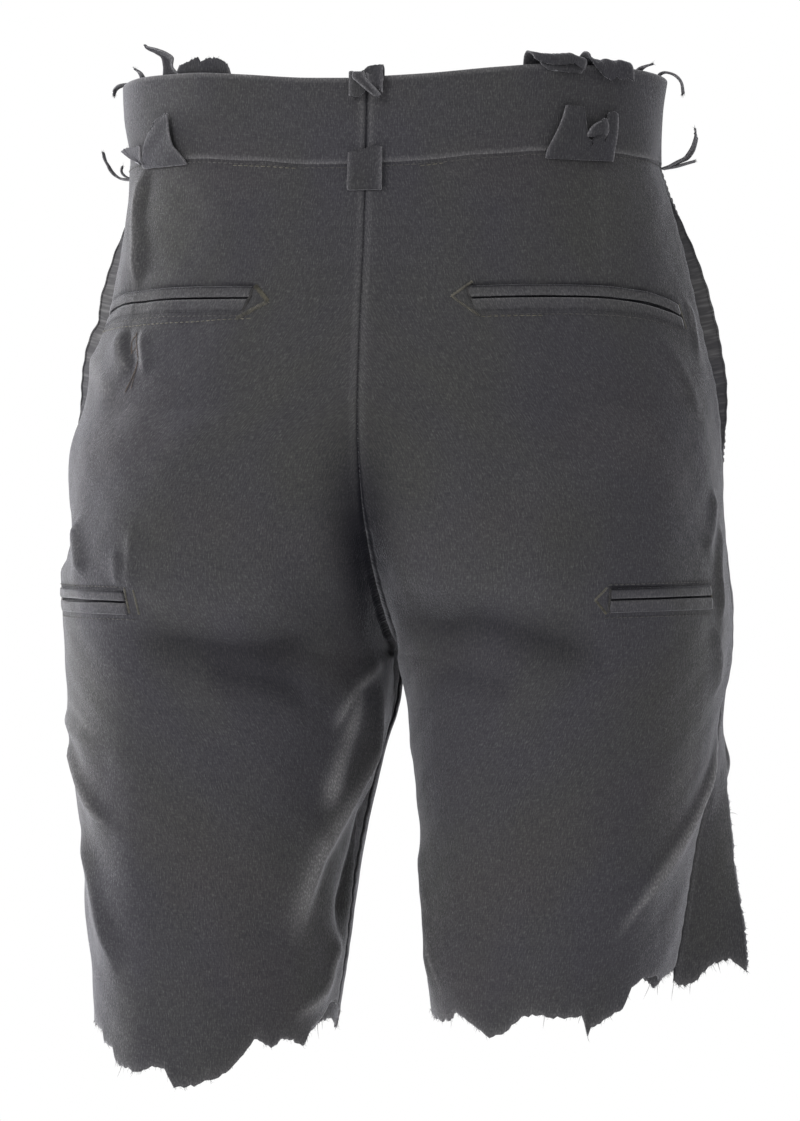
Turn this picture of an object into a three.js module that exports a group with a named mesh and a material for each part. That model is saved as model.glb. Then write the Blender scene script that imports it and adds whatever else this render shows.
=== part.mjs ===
// Worn cut-off shorts in wool serge, made from a pair of high-waisted trousers: four leg panels, a
// two-part waistband, welted pockets on the seat and thighs, side pockets that gape, a fly, and the
// torn remains of the belt loops. The hems are ragged and the right front is ripped from its hem.
// The cloth stands hollow, as it hangs on a figure.
// Millimetres, +Z up, front towards -Y, wearer's left towards +X. The origin is the centre of the
// waist, inside the waistband.
// A place on the cloth is given by a side (left or right), by "around", the distance from the side
// seam along the section, more than 0 towards the back and less towards the front, and by z.
import * as THREE from "three";

// ---- Driving dimensions -----------------------------------------------------------------------
const CLOTH_WALL = 1.8; // one layer of serge
const BAND_WALL = 3; // waistband: two layers and their interlining
const BAND_HEIGHT = 47;
const BAND_PROUD = 0.8; // the waistband's face stands this far outside the panels' face
const LOOP_WALL = 1.6; // belt-loop strip, pressed double
const WELT_WALL = 1.4;
const SEAM_GAP = 0.3; // between two pieces that are sewn together
const LAID_GAP = 0.5; // between a panel and what is laid on it
const CROTCH_Z = -300; // where the four leg seams meet
const SEAT_Z = -165; // where the centre seams begin to turn under the body
const ROUNDNESS = 2.2; // exponent of the sections: 2 is an ellipse
const TURN_UNDER = 1.9; // exponent of the centre seams' curve between seat and crotch
const ARC_STEPS = 40; // chords in which each half of a section is measured
const SIDE_POCKET = { top: -44, bottom: -190, gape: 9, fade: 24 };
const SEAM_SHIFT = { most: 13, z: -112, spread: 52 }; // side seam towards the back, at the pockets
const FLY = {
  bottom: -222, overlap: 5, overlapFade: 20, raise: CLOTH_WALL + LAID_GAP, rampFrom: 32, rampTo: 9,
};
const BAND_LAP = { under: 30, raise: BAND_WALL + LAID_GAP, rampFrom: 60, rampTo: 34 };
const BUTTON = { radius: 8.5, thickness: 2.2, bevel: 0.6, hole: 0.9, holeOffset: 1.9, fromEdge: 20 };

const OUTWARD = { left: 1, right: -1 }; // sign of X

// Horizontal sections. Outer is the half width at the side seam, inner the inseam's distance from the
// centre line below the crotch, back and front the furthest points, mid the side seam's depth.
const SECTION_COLUMNS = [
  "z", "leftOuter", "rightOuter", "leftInner", "rightInner", "back", "front", "mid",
];
const SECTIONS = [
  [27, 153.5, 151, 0, 0, 103, -97, 0],
  [0, 152, 147.5, 0, 0, 104, -98, 0],
  [-25, 148.5, 147, 0, 0, 106, -99, 0],
  [-45, 149, 152, 0, 0, 109, -101, 0],
  [-75, 154, 161, 0, 0, 115, -105, 0],
  [-100, 159, 168, 0, 0, 121, -107, 0],
  [-130, 168, 174.5, 0, 0, 129, -108, -1],
  [-160, 175, 179.5, 0, 0, 134.5, -107, -3],
  [-190, 183.5, 181, 0, 0, 137, -105, -6],
  [-220, 184, 181.5, 0, 0, 136, -101, -10],
  [-250, 187.5, 183.5, 0, 0, 129, -97, -15],
  [-275, 189, 186, 0, 0, 117, -94, -18],
  [-300, 188.5, 185, 0, 0, 107, -92, -20],
  [-325, 186, 180.5, 1.5, 6, 101, -90, -15],
  [-350, 181, 176.5, 8.5, 8.5, 98, -89, -9],
  [-380, 179.5, 170.5, 15.5, 12, 95.5, -88, -4],
  [-410, 174, 166, 21, 17, 94, -87, -1],
  [-440, 174, 161.5, 25.5, 18.5, 92.5, -86, 0],
  [-470, 170.5, 156, 29.5, 18.5, 91, -85, 0],
  [-505, 168.5, 150.5, 35, 23, 90, -84, 0],
  [-545, 167, 146, 40, 28, 89, -83, 0],
];

// Height of the waistband's middle line, by turn: -1 at the centre back, 0 at the side seam, 1 at the
// centre front.
const WAIST_COLUMNS = ["turn", "left", "right"];
const WAIST_LINE = [
  [-1, -11.5, -11],
  [-0.85, -11, -9.6],
  [-0.65, -7.6, -5.8],
  [-0.5, -5.3, -3.6],
  [-0.3, -4.6, -3.3],
  [0, -6, -4.2],
  [0.4, -6.5, -5.5],
  [1, -10, -10],
];

// Large folds: soft ridges (height above 0) and troughs, each along a path of [around, z].
const FOLDS = {
  left: [
    {
      name: "inner thigh ridge", width: 15, height: 6,
      path: [[298, -340], [240, -392], [204, -432], [194, -478]],
    },
    { name: "crotch ridge", width: 11, height: 4, path: [[290, -312], [238, -343], [222, -392]] },
    { name: "hem ridge, inner side", width: 11, height: 4, path: [[262, -457], [232, -483], [192, -503]] },
    { name: "under the seat", width: 13, height: -5, path: [[150, -288], [205, -296], [262, -288]] },
    { name: "above the thigh pocket", width: 11, height: -10, path: [[-40, -232], [10, -237], [70, -238]] },
    { name: "outer thigh ridge", width: 12, height: 4, path: [[-5, -330], [50, -341], [98, -348]] },
    { name: "outer thigh ridge, lower", width: 12, height: 4, path: [[30, -350], [58, -370], [85, -388]] },
    { name: "outer knee ridge", width: 12, height: 4, path: [[38, -396], [66, -425], [79, -462]] },
    { name: "front crotch ridge", width: 15, height: 5, path: [[-215, -300], [-150, -345], [-100, -400]] },
    { name: "front groin trough", width: 14, height: -5, path: [[-190, -262], [-120, -292], [-60, -300]] },
    { name: "front knee ridge", width: 16, height: 5, path: [[-190, -380], [-150, -430], [-140, -480]] },
  ],
  right: [
    { name: "under the seat", width: 13, height: -5, path: [[262, -276], [213, -277], [165, -294]] },
    { name: "side ridge at the hip", width: 11, height: 4, path: [[36, -205], [70, -245]] },
    { name: "side ridge below the hip", width: 12, height: 4, path: [[28, -222], [44, -262], [40, -300]] },
    {
      name: "outer thigh ridge", width: 13, height: 7,
      path: [[-6, -330], [10, -376], [32, -398], [55, -420], [72, -446]],
    },
    { name: "inner edge", width: 16, height: 4, path: [[232, -398], [210, -434], [192, -470]] },
    { name: "front crotch ridge", width: 15, height: 5, path: [[-210, -302], [-160, -340], [-120, -392]] },
    { name: "front groin trough", width: 14, height: -5, path: [[-195, -266], [-130, -290], [-70, -296]] },
    { name: "front knee ridge", width: 16, height: 4, path: [[-200, -385], [-165, -440], [-160, -478]] },
  ],
};

// The rip in the right front: how far from the side seam it runs, and the turn (radians) about the
// side seam of the loose flap beside it and of the panel beyond it.
const RIP_COLUMNS = ["z", "around", "flapTurn", "panelTurn"];
const RIP_TOP = -364;
const RIP = [
  [-310, 28, 0, 0],
  [-338, 28, 0.14, 0.14],
  [RIP_TOP, 28, 0.42, 0.42],
  [-390, 33, 0.6, 0.28],
  [-420, 39, 0.76, 0.12],
  [-480, 48, 1.15, 0.04],
  [-545, 52, 1.2, 0],
];
const RIP_SPREAD = 90; // the panel's turn fades out over this distance beyond the rip

// The torn hems, a row for each tooth, notch or bend. Across runs from the side seam (0) to the
// inseam (1); the rows also set where the panels' columns of points run.
const HEM_COLUMNS = ["across", "z"];
const HEMS = {
  left_back: [
    [0, -508], [0.065, -505], [0.13, -502], [0.19, -503], [0.24, -505], [0.25, -512],
    [0.295, -514], [0.31, -522], [0.35, -524], [0.385, -526], [0.43, -522], [0.455, -523],
    [0.478, -533.5], [0.53, -531], [0.58, -527], [0.605, -522], [0.655, -507], [0.7, -513],
    [0.728, -507], [0.775, -511], [0.808, -514], [0.825, -504.5], [0.87, -499.5], [0.92, -491],
    [0.96, -492], [1, -495],
  ],
  left_front: [
    [0, -508], [0.05, -516], [0.11, -511], [0.17, -520], [0.23, -526], [0.29, -518], [0.36, -513],
    [0.42, -521], [0.48, -515], [0.54, -509], [0.6, -517], [0.66, -522], [0.72, -512], [0.79, -507],
    [0.86, -511], [0.93, -500], [1, -495],
  ],
  right_back: [
    [0, -470], [0.07, -473], [0.137, -475.5], [0.17, -473], [0.225, -473.5], [0.256, -477],
    [0.28, -488.5], [0.33, -493.5], [0.374, -498], [0.386, -491.5], [0.45, -492.5], [0.48, -490],
    [0.517, -492], [0.55, -499], [0.59, -504], [0.636, -498], [0.664, -494], [0.7, -492],
    [0.715, -495.5], [0.76, -497.5], [0.81, -497.5], [0.87, -494], [0.94, -498], [1, -500],
  ],
  right_front: [
    [0, -479], [0.03, -483], [0.06, -479], [0.1, -470], [0.15, -468.5], [0.2, -476], [0.26, -489],
    [0.33, -483], [0.4, -494], [0.47, -503], [0.53, -496], [0.6, -500], [0.67, -490], [0.74, -498],
    [0.8, -492], [0.87, -497], [0.94, -495], [1, -500],
  ],
};
const RIP_ACROSS = 0.2; // the row of right_front's hem where the rip opens

// Slot lines of the welted pockets, as [around, z], with the heights of the welts above and below.
const POCKETS = {
  hip: {
    upper: 6.4,
    lower: 7,
    left: [[16, -115.2], [26, -111.6], [42, -108.4], [64, -106.4], [110, -105.5], [152, -106.5]],
    right: [[33, -114], [46, -110.8], [64, -108], [90, -106.3], [115, -106], [164, -107.5]],
  },
  thigh: {
    upper: 6,
    lower: 7,
    left: [[44, -268], [95, -268.5], [146, -269.5]],
    right: [[56, -266.5], [100, -267], [142, -268]],
  },
};
const SLOT_GAP = 0.8; // half the gap between an upper and a lower welt

// Belt-loop remains. Each row of a path gives the strip's middle (around, or the distance past the
// centre back where from is "centre"), its height, its lift off the panels' face and its width. Tear
// gives the torn end as [across, height]: across runs from -1 to 1 over the width.
const LOOP_COLUMNS = ["middle", "z", "lift", "width"];
const INSIDE = -(BAND_WALL - BAND_PROUD + LAID_GAP + LOOP_WALL); // lift of a strip inside the band
const LOOPS = {
  loop_centre_upper: {
    side: "left", from: "centre",
    path: [
      [0, 3, INSIDE, 19], [0, 12.2, INSIDE, 19], [0, 14.4, -3.4, 19], [0, 15.2, -0.6, 19.5],
      [0, 14.9, 1.8, 19.5], [0, 12.4, 3.4, 19.5], [0, 6, 3.5, 19], [0, 1.5, 4, 18.5],
    ],
    tear: [[-1, 1], [-0.3, -0.5], [0.4, 0.5], [1, -1]],
  },
  loop_centre_lower: {
    side: "left", from: "centre",
    path: [
      [0, -25.5, 3.8, 19.5], [0, -30, 3.2, 19.5], [0, -37, 3.1, 19.5], [0, -44, 3.2, 20],
      [0, -49, 3.2, 20],
    ],
    tearFirst: [[-1, 1.5], [-0.3, 0.5], [0.4, -1.5], [1, -3]],
  },
  loop_back_upper_left: {
    side: "left",
    path: [
      [104, 6, INSIDE, 44], [104, 13, INSIDE, 46], [104, 18, INSIDE, 48], [103, 22, -4.6, 48],
      [102, 26, -5.4, 46],
    ],
    tear: [[-1, 7], [-0.72, -3], [-0.35, 0.5], [0, 1.5], [0.5, 1], [0.85, 0], [1, -4]],
  },
  loop_back_upper_right: {
    side: "right",
    path: [
      [88, 10, INSIDE, 60], [88, 20.2, INSIDE, 62], [88, 22.6, -3.4, 63], [88, 23.6, -0.6, 63],
      [88, 23.3, 2, 63], [88, 20.6, 4, 63], [88, 17.5, 4.6, 62], [87, 13.5, 5.4, 60],
    ],
    tear: [[-1, -0.5], [-0.65, -2.5], [-0.3, 2.5], [0.1, 3], [0.5, 1], [1, 2.5]],
  },
  loop_back_lower_left: {
    side: "left",
    path: [
      [81, -5, 3.1, 14], [79, -11, 3.8, 18], [78, -16.5, 4.5, 22], [78, -21.5, 4.8, 26],
      [79, -26.5, 4.2, 33], [80, -31, 3.2, 38],
    ],
    tearFirst: [[-1, -3], [0, -1], [1, 1.5]],
  },
  loop_back_lower_right: {
    side: "right",
    path: [
      [79.5, -3.6, 3.4, 33], [80.5, -11, 4.3, 35], [83, -20, 4.3, 38], [85, -27, 3.6, 41],
      [86, -31, 3.2, 42],
    ],
    tearFirst: [[-1, -1.5], [-0.4, 0], [0.3, 0.8], [1, 1.5]],
  },
  loop_side_upper_left: {
    side: "left",
    path: [
      [-4, 9, INSIDE, 11], [-4, 17.4, INSIDE, 11], [-4, 19.8, -3.4, 10.5], [-4, 20.8, -0.4, 10],
      [-4, 20.6, 3, 9.5], [-4, 19.6, 5.4, 9], [-5, 17.8, 7.8, 8], [-5, 15, 8.9, 7],
    ],
    tear: [[-1, 0.8], [1, -0.8]],
  },
  loop_side_lower_left: {
    side: "left",
    path: [
      [2, -18.5, 17.4, 5], [1, -24, 16, 7], [0, -29.5, 13, 9], [-1, -32.6, 8.6, 10],
      [-1, -33.2, 4, 11], [-1, -33, 0.6, 11],
    ],
    tearFirst: [[-1, -1], [1, 1]],
  },
  loop_side_upper_right: {
    side: "right",
    path: [
      [-2, 11, INSIDE, 11], [-2, 19.3, INSIDE, 11], [-2, 21.7, -3.4, 10.5], [-2, 22.7, -0.4, 10],
      [-2, 22.5, 2.8, 10], [-2, 21.2, 6, 9.5], [-1, 18, 9, 9], [0, 13.2, 10.6, 7],
    ],
    tear: [[-1, 0.5], [1, -1]],
  },
  loop_side_lower_right: {
    side: "right",
    path: [
      [3, -11, 20, 7], [2, -17.5, 18.6, 9], [1, -23.8, 14.6, 10], [0, -28, 9, 10],
      [0, -30, 4.4, 11], [0, -30.4, 0.6, 11],
    ],
    tearFirst: [[-1, -1.5], [1, 1]],
  },
};

// Colours of the weathered serge and the horn button.
const FINISHES = {
  serge: { color: 0x4a494c, roughness: 0.9, metalness: 0 },
  band: { color: 0x4b4a4d, roughness: 0.9, metalness: 0 },
  welt: { color: 0x48474b, roughness: 0.88, metalness: 0 },
  loop: { color: 0x454349, roughness: 0.9, metalness: 0 },
  lining: { color: 0x3c3b3f, roughness: 0.85, metalness: 0 },
  button: { color: 0x2c2622, roughness: 0.4, metalness: 0 },
};

// ---- Tables and blends ------------------------------------------------------------------------

const opposite = (side) => (side === "left" ? "right" : "left");
const clamp = (value) => Math.min(Math.max(value, 0), 1);
const mix = (from, to, share) => from + (to - from) * share;

// A table's row as an object, by its column names.
const named = (columns, row) => Object.fromEntries(columns.map((name, i) => [name, row[i]]));

// From 0 at start to 1 at end, level at both.
function ease(value, start, end) {
  const share = clamp((value - start) / (end - start));
  return share * share * (3 - 2 * share);
}

// A table's column as a smooth function of its first column, with no overshoot between rows: a cubic
// whose slope is 0 at each turning point and a harmonic mean elsewhere.
function smooth(rows, column) {
  const sorted = [...rows].sort((a, b) => a[0] - b[0]);
  const x = sorted.map((row) => row[0]);
  const y = sorted.map((row) => row[column]);
  const secant = x.slice(1).map((_, i) => (y[i + 1] - y[i]) / (x[i + 1] - x[i]));
  const slope = x.map((_, i) => {
    const before = secant[Math.max(i - 1, 0)];
    const after = secant[Math.min(i, secant.length - 1)];
    return before * after <= 0 ? 0 : (2 * before * after) / (before + after);
  });
  return (at) => {
    const t = Math.min(Math.max(at, x[0]), x[x.length - 1]);
    let i = 0;
    while (i < x.length - 2 && t > x[i + 1]) i += 1;
    const span = x[i + 1] - x[i];
    const u = (t - x[i]) / span;
    const cubic = (2 * u - 3) * u * u;
    return (
      y[i] * (1 + cubic) - y[i + 1] * cubic +
      span * u * (u - 1) * (slope[i] * (u - 1) + slope[i + 1] * u)
    );
  };
}

// The same, with straight lines between the rows: for torn edges.
function straight(rows, column) {
  return (at) => {
    let i = 0;
    while (i < rows.length - 2 && at > rows[i + 1][0]) i += 1;
    const share = clamp((at - rows[i][0]) / (rows[i + 1][0] - rows[i][0]));
    return mix(rows[i][column], rows[i + 1][column], share);
  };
}

// Every column of a table after its first, by name.
function columnsOf(names, rows) {
  return Object.fromEntries(names.slice(1).map((name, i) => [name, smooth(rows, i + 1)]));
}

const sectionAt = columnsOf(SECTION_COLUMNS, SECTIONS);
const waistAt = columnsOf(WAIST_COLUMNS, WAIST_LINE);
const ripAt = columnsOf(RIP_COLUMNS, RIP);

// ---- Form of the cloth ------------------------------------------------------------------------

// The share of a section's depth that its centre seam keeps: 1 above the seat, 0 at the crotch.
function seamReach(z) {
  const fall = clamp((SEAT_Z - z) / (SEAT_Z - CROTCH_Z));
  return Math.pow(1 - Math.pow(fall, TURN_UNDER), 1 / TURN_UNDER);
}

// One side's section at a height: a centre, a half width, a depth each way, and endShare, which says
// how far past its centre the curve runs: 0 where it ends square on the centre plane, 1 at the inseam.
function section(side, z) {
  const outer = sectionAt[side + "Outer"](z);
  const mid = sectionAt.mid(z);
  const endShare = Math.pow(1 - Math.pow(seamReach(z), ROUNDNESS), 1 / ROUNDNESS);
  const inner = z < CROTCH_Z ? sectionAt[side + "Inner"](z) : 0;
  const halfWidth = (outer - inner) / (1 + endShare);
  return {
    centre: outer - halfWidth,
    halfWidth,
    mid,
    back: sectionAt.back(z) - mid,
    front: mid - sectionAt.front(z),
    endShare,
  };
}

// Above 0 outside a section and below 0 inside it: its slope is the cloth's normal.
function outside(side, x, y, z) {
  const s = section(side, z);
  const depth = y > s.mid ? s.back : s.front;
  return (
    Math.pow(Math.abs((x - s.centre) / s.halfWidth), ROUNDNESS) +
    Math.pow(Math.abs((y - s.mid) / depth), ROUNDNESS) - 1
  );
}

// One side's section as points from the centre back round to the centre front, with the length along
// them and the side seam's place on it.
const measured = new Map();
function sectionLine(side, z) {
  const key = side + z.toFixed(4);
  if (measured.has(key)) return measured.get(key);
  const s = section(side, z);
  const last = Math.acos(-Math.pow(s.endShare, ROUNDNESS / 2));
  const points = [];
  for (let i = -ARC_STEPS; i <= ARC_STEPS; i += 1) {
    const angle = (last * Math.abs(i)) / ARC_STEPS;
    const across = Math.cos(angle);
    const along = Math.pow(Math.sin(angle), 2 / ROUNDNESS);
    points.push([
      s.centre + s.halfWidth * Math.sign(across) * Math.pow(Math.abs(across), 2 / ROUNDNESS),
      i < 0 ? s.mid + s.back * along : s.mid - s.front * along,
    ]);
  }
  const at = [0];
  for (let i = 1; i < points.length; i += 1) {
    at.push(at[i - 1] + Math.hypot(points[i][0] - points[i - 1][0], points[i][1] - points[i - 1][1]));
  }
  const away = (z - SEAM_SHIFT.z) / SEAM_SHIFT.spread;
  const seam = at[ARC_STEPS] - SEAM_SHIFT.most * Math.exp(-away * away);
  const line = { points, at, seam, length: at[at.length - 1] };
  measured.set(key, line);
  return line;
}

// The distance from the side seam to the centre seam or inseam.
function panelWidth(side, half, z) {
  const line = sectionLine(side, z);
  return half === "back" ? line.seam : line.length - line.seam;
}

// The smooth form with no folds. Past the centre line the place goes on over the other side.
function bareFace(side, around, z) {
  const line = sectionLine(side, z);
  const other = opposite(side);
  const along = line.seam - around;
  if (along < 0) return bareFace(other, panelWidth(other, "back", z) + along, z);
  if (along > line.length) return bareFace(other, along - line.length - panelWidth(other, "front", z), z);
  let i = 0;
  while (i < line.at.length - 2 && along > line.at[i + 1]) i += 1;
  const share = (along - line.at[i]) / (line.at[i + 1] - line.at[i]);
  const x = mix(line.points[i][0], line.points[i + 1][0], share);
  const y = mix(line.points[i][1], line.points[i + 1][1], share);
  const step = 0.5;
  const normal = new THREE.Vector3(
    outside(side, x + step, y, z) - outside(side, x - step, y, z),
    outside(side, x, y + step, z) - outside(side, x, y - step, z),
    outside(side, x, y, z + step) - outside(side, x, y, z - step),
  ).normalize();
  const point = new THREE.Vector3(x + SEAM_GAP / 2, y, z);
  point.x *= OUTWARD[side];
  normal.x *= OUTWARD[side];
  return { point, normal };
}

const FOLD_END = { share: 0.35, run: 0.25 }; // a fold's height at its ends, and how soon it is full

// How high one fold stands at a place: a bell across its path that dies away at the path's ends.
function foldHeight(fold, around, z) {
  const steps = fold.path.slice(1).map((to, i) => {
    const from = fold.path[i];
    const run = [to[0] - from[0], to[1] - from[1]];
    const length = Math.hypot(...run);
    const share = clamp(((around - from[0]) * run[0] + (z - from[1]) * run[1]) / (length * length));
    const miss = Math.hypot(around - from[0] - share * run[0], z - from[1] - share * run[1]);
    return { length, share, miss };
  });
  const total = steps.reduce((sum, step) => sum + step.length, 0);
  let nearest = steps[0];
  let before = 0;
  let run = 0;
  for (const step of steps) {
    if (step.miss < nearest.miss) {
      nearest = step;
      before = run;
    }
    run += step.length;
  }
  const along = (before + nearest.share * nearest.length) / total;
  const ends = mix(FOLD_END.share, 1, ease(along, 0, FOLD_END.run) * ease(1 - along, 0, FOLD_END.run));
  return fold.height * ends * Math.exp(-Math.pow(nearest.miss / fold.width, 2));
}

// How far the front panel's pocket mouth stands off at the side seam: it fades up, down and forwards.
function pocketGape(around, z) {
  const { top, bottom, gape, fade } = SIDE_POCKET;
  const height = Math.sin(Math.PI * clamp((z - bottom) / (top - bottom)));
  return around > 0 ? 0 : gape * height * Math.pow(clamp(1 + around / fade), 2);
}

// The left front is raised where it laps over the right one at the fly.
function flyRaise(side, around, z) {
  if (side !== "left" || around > 0) return 0;
  const toCentre = panelWidth(side, "front", z) + around;
  const across = ease(-toCentre, -FLY.rampFrom, -FLY.rampTo);
  return FLY.raise * across * ease(z, FLY.bottom - 2 * FLY.overlapFade, FLY.bottom);
}

// The face of a leg panel. The right front turns outwards about the side seam along the rip, by one
// amount on the flap and another beyond the rip, which fades out.
function panelFace(side, around, z, onFlap) {
  const { point, normal } = bareFace(side, around, z);
  const folds = (at) => FOLDS[side].reduce((sum, fold) => sum + foldHeight(fold, at, z), 0);
  point.addScaledVector(normal, folds(around) + pocketGape(around, z) + flyRaise(side, around, z));
  if (side === "left" || around >= 0) return { point, normal };
  const beyond = -around - ripAt.around(z);
  const turn = onFlap ? ripAt.flapTurn(z) : ripAt.panelTurn(z) * (1 - ease(beyond, 0, RIP_SPREAD));
  const seam = bareFace(side, 0, z);
  seam.point.addScaledVector(seam.normal, folds(0));
  const axis = new THREE.Vector3(0, 0, 1);
  point.sub(seam.point).applyAxisAngle(axis, -turn).add(seam.point);
  normal.applyAxisAngle(axis, -turn);
  return { point, normal };
}

// The face of the waistband, and where its ends lap at the centre front.
function bandFace(side, around, z) {
  const { point, normal } = bareFace(side, around, z);
  const toEnd = panelWidth(side, "front", z) + around;
  const raise = side === "left" ? BAND_LAP.raise * ease(-toEnd, -BAND_LAP.rampFrom, -BAND_LAP.rampTo) : 0;
  point.addScaledVector(normal, BAND_PROUD + raise);
  return { point, normal };
}

// ---- Walls ------------------------------------------------------------------------------------

// A closed wall over a net of columns by rows. place(column, row, lip) gives a point of the outer face
// and its normal; the inner face lies a wall's thickness inside, and rims close all free edges. Along
// a slit, a column's points part below a row, with lip 0 before the slit and 1 beyond it.
function clothWall({ columns, rows, place, wall, mirrored = false, slit = null }) {
  const corners = new Map();
  const outer = [];
  const inner = [];
  const cornerAt = (column, row, beyond) => {
    const parted = slit !== null && column === slit.column && row > slit.row;
    const pastSlit = slit !== null && column >= slit.column && !(parted && !beyond);
    const lip = pastSlit ? 1 : 0;
    const key = column + " " + row + " " + (parted && beyond ? "beyond" : "");
    if (!corners.has(key)) {
      corners.set(key, outer.length);
      const { point, normal } = place(column, row, lip);
      outer.push(point);
      inner.push(point.clone().addScaledVector(normal, -wall));
    }
    return corners.get(key);
  };
  const cells = [];
  for (let column = 0; column < columns - 1; column += 1) {
    for (let row = 0; row < rows - 1; row += 1) {
      const cell = [
        cornerAt(column, row + 1, true),
        cornerAt(column + 1, row + 1, false),
        cornerAt(column + 1, row, false),
        cornerAt(column, row, true),
      ];
      cells.push(mirrored ? cell.reverse() : cell);
    }
  }
  const count = outer.length;
  const index = [];
  const free = new Map();
  for (const [a, b, c, d] of cells) {
    index.push(a, b, c, a, c, d);
    index.push(a + count, c + count, b + count, a + count, d + count, c + count);
    for (const [from, to] of [[a, b], [b, c], [c, d], [d, a]]) {
      if (!free.delete(to + " " + from)) free.set(from + " " + to, [from, to]);
    }
  }
  for (const [from, to] of free.values()) {
    index.push(to, from, from + count, to, from + count, to + count);
  }
  const positions = [...outer, ...inner].flatMap((point) => point.toArray());
  const geometry = new THREE.BufferGeometry();
  geometry.setAttribute("position", new THREE.Float32BufferAttribute(positions, 3));
  geometry.setIndex(index);
  geometry.computeVertexNormals();
  return geometry;
}

const shorts = new THREE.Group();
shorts.name = "cut_off_shorts";

function addPiece(name, geometry, finish) {
  const mesh = new THREE.Mesh(geometry, new THREE.MeshStandardMaterial(FINISHES[finish]));
  mesh.name = name;
  shorts.add(mesh);
  return mesh;
}

// ---- Leg panels -------------------------------------------------------------------------------

const UPPER_ROWS = [-62, -90, -118, -144, SEAT_Z];
const CROTCH_ROWS = [8, 15, 23, 32, 45, 60, 70, 80, 90].map(
  (degrees) => mix(SEAT_Z, CROTCH_Z, Math.pow(Math.sin(THREE.MathUtils.degToRad(degrees)), 2 / TURN_UNDER)),
);
const LEG_ROWS = [-306, -318, -338, RIP_TOP, -390, -415, -440];
const LEVELS = [...UPPER_ROWS, ...CROTCH_ROWS, ...LEG_ROWS];
const HEM_BLEND = [0.5, 1]; // the last rows, between the lowest level and the hem
const HEM_LEVEL = -500; // where the columns' spacing is measured
const WAIST_LEVEL = -31; // about the height of the waist seam
const PANEL_ROWS = 1 + LEVELS.length + HEM_BLEND.length;
const RIP_ROW = 1 + LEVELS.indexOf(RIP_TOP);

// A column's distance from the side seam. Columns keep their distance at the hem while they run up,
// and take up the panel's change of width more and more towards the centre seam.
function columnAround(across, width, hemWidth) {
  return hemWidth * across + (width - hemWidth) * across * across;
}

// On the ripped front, the flap's columns stay within the rip's distance.
function rippedAround(across, width, rip) {
  if (across <= RIP_ACROSS) return (rip * across) / RIP_ACROSS;
  return mix(rip, width, (across - RIP_ACROSS) / (1 - RIP_ACROSS));
}

function panel(side, half) {
  const hem = HEMS[side + "_" + half];
  const ripped = side === "right" && half === "front";
  const lapped = side === "left" && half === "front";
  const towards = half === "back" ? 1 : -1;
  const hemWidth = panelWidth(side, half, HEM_LEVEL);
  const widthAt = (z) => {
    const lap = lapped ? FLY.overlap * ease(z, FLY.bottom, FLY.bottom + FLY.overlapFade) : 0;
    return panelWidth(side, half, z) + lap - SEAM_GAP;
  };
  const aroundAt = (across, z) =>
    ripped ? rippedAround(across, widthAt(z), ripAt.around(z)) : columnAround(across, widthAt(z), hemWidth);
  const levelAt = (row, across, hemZ) => {
    if (row === 0) {
      const turn = (-towards * aroundAt(across, WAIST_LEVEL)) / panelWidth(side, half, WAIST_LEVEL);
      return waistAt[side](turn) - BAND_HEIGHT / 2 - SEAM_GAP;
    }
    if (row <= LEVELS.length) return LEVELS[row - 1];
    return mix(LEVELS[LEVELS.length - 1], hemZ, HEM_BLEND[row - 1 - LEVELS.length]);
  };
  const place = (column, row, lip) => {
    const { across, z: hemZ } = named(HEM_COLUMNS, hem[column]);
    const z = levelAt(row, across, hemZ);
    return panelFace(side, towards * (SEAM_GAP / 2 + aroundAt(across, z)), z, ripped && lip === 0);
  };
  const ripColumn = hem.findIndex(([across]) => across === RIP_ACROSS);
  return clothWall({
    columns: hem.length,
    rows: PANEL_ROWS,
    place,
    wall: CLOTH_WALL,
    mirrored: (side === "right") !== (half === "front"),
    slit: ripped ? { column: ripColumn, row: RIP_ROW } : null,
  });
}

for (const side of ["left", "right"]) {
  addPiece("back_" + side, panel(side, "back"), "serge");
  addPiece("front_" + side, panel(side, "front"), "serge");
}

// ---- Waistband --------------------------------------------------------------------------------

const BAND_COLUMNS = 27; // in one half, from the centre back to the centre front
const BAND_ROWS = 4;

for (const side of ["left", "right"]) {
  const past = side === "left" ? FLY.overlap : BAND_LAP.under;
  addPiece(
    "waistband_" + side,
    clothWall({
      columns: BAND_COLUMNS,
      rows: BAND_ROWS,
      wall: BAND_WALL,
      mirrored: side === "left",
      place: (column, row) => {
        const turn = mix(-1, 1 + past / panelWidth(side, "front", 0), column / (BAND_COLUMNS - 1));
        const middle = turn > 1 ? waistAt[opposite(side)](2 - turn) : waistAt[side](turn);
        const z = middle + BAND_HEIGHT * (0.5 - row / (BAND_ROWS - 1));
        const around = -turn * panelWidth(side, turn < 0 ? "back" : "front", z);
        return bandFace(side, turn === -1 ? around - SEAM_GAP / 2 : around, z);
      },
    }),
    "band",
  );
}

// ---- Fly shield and button --------------------------------------------------------------------

const SHIELD = {
  fromCentre: -12, past: 30, pastAtFoot: 16.5, footFrom: 0.6, top: -36, bottom: -213, columns: 5, inset: 0.7,
};
const shieldRows = [SHIELD.top, ...LEVELS.filter((z) => z > SHIELD.bottom), SHIELD.bottom];

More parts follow.
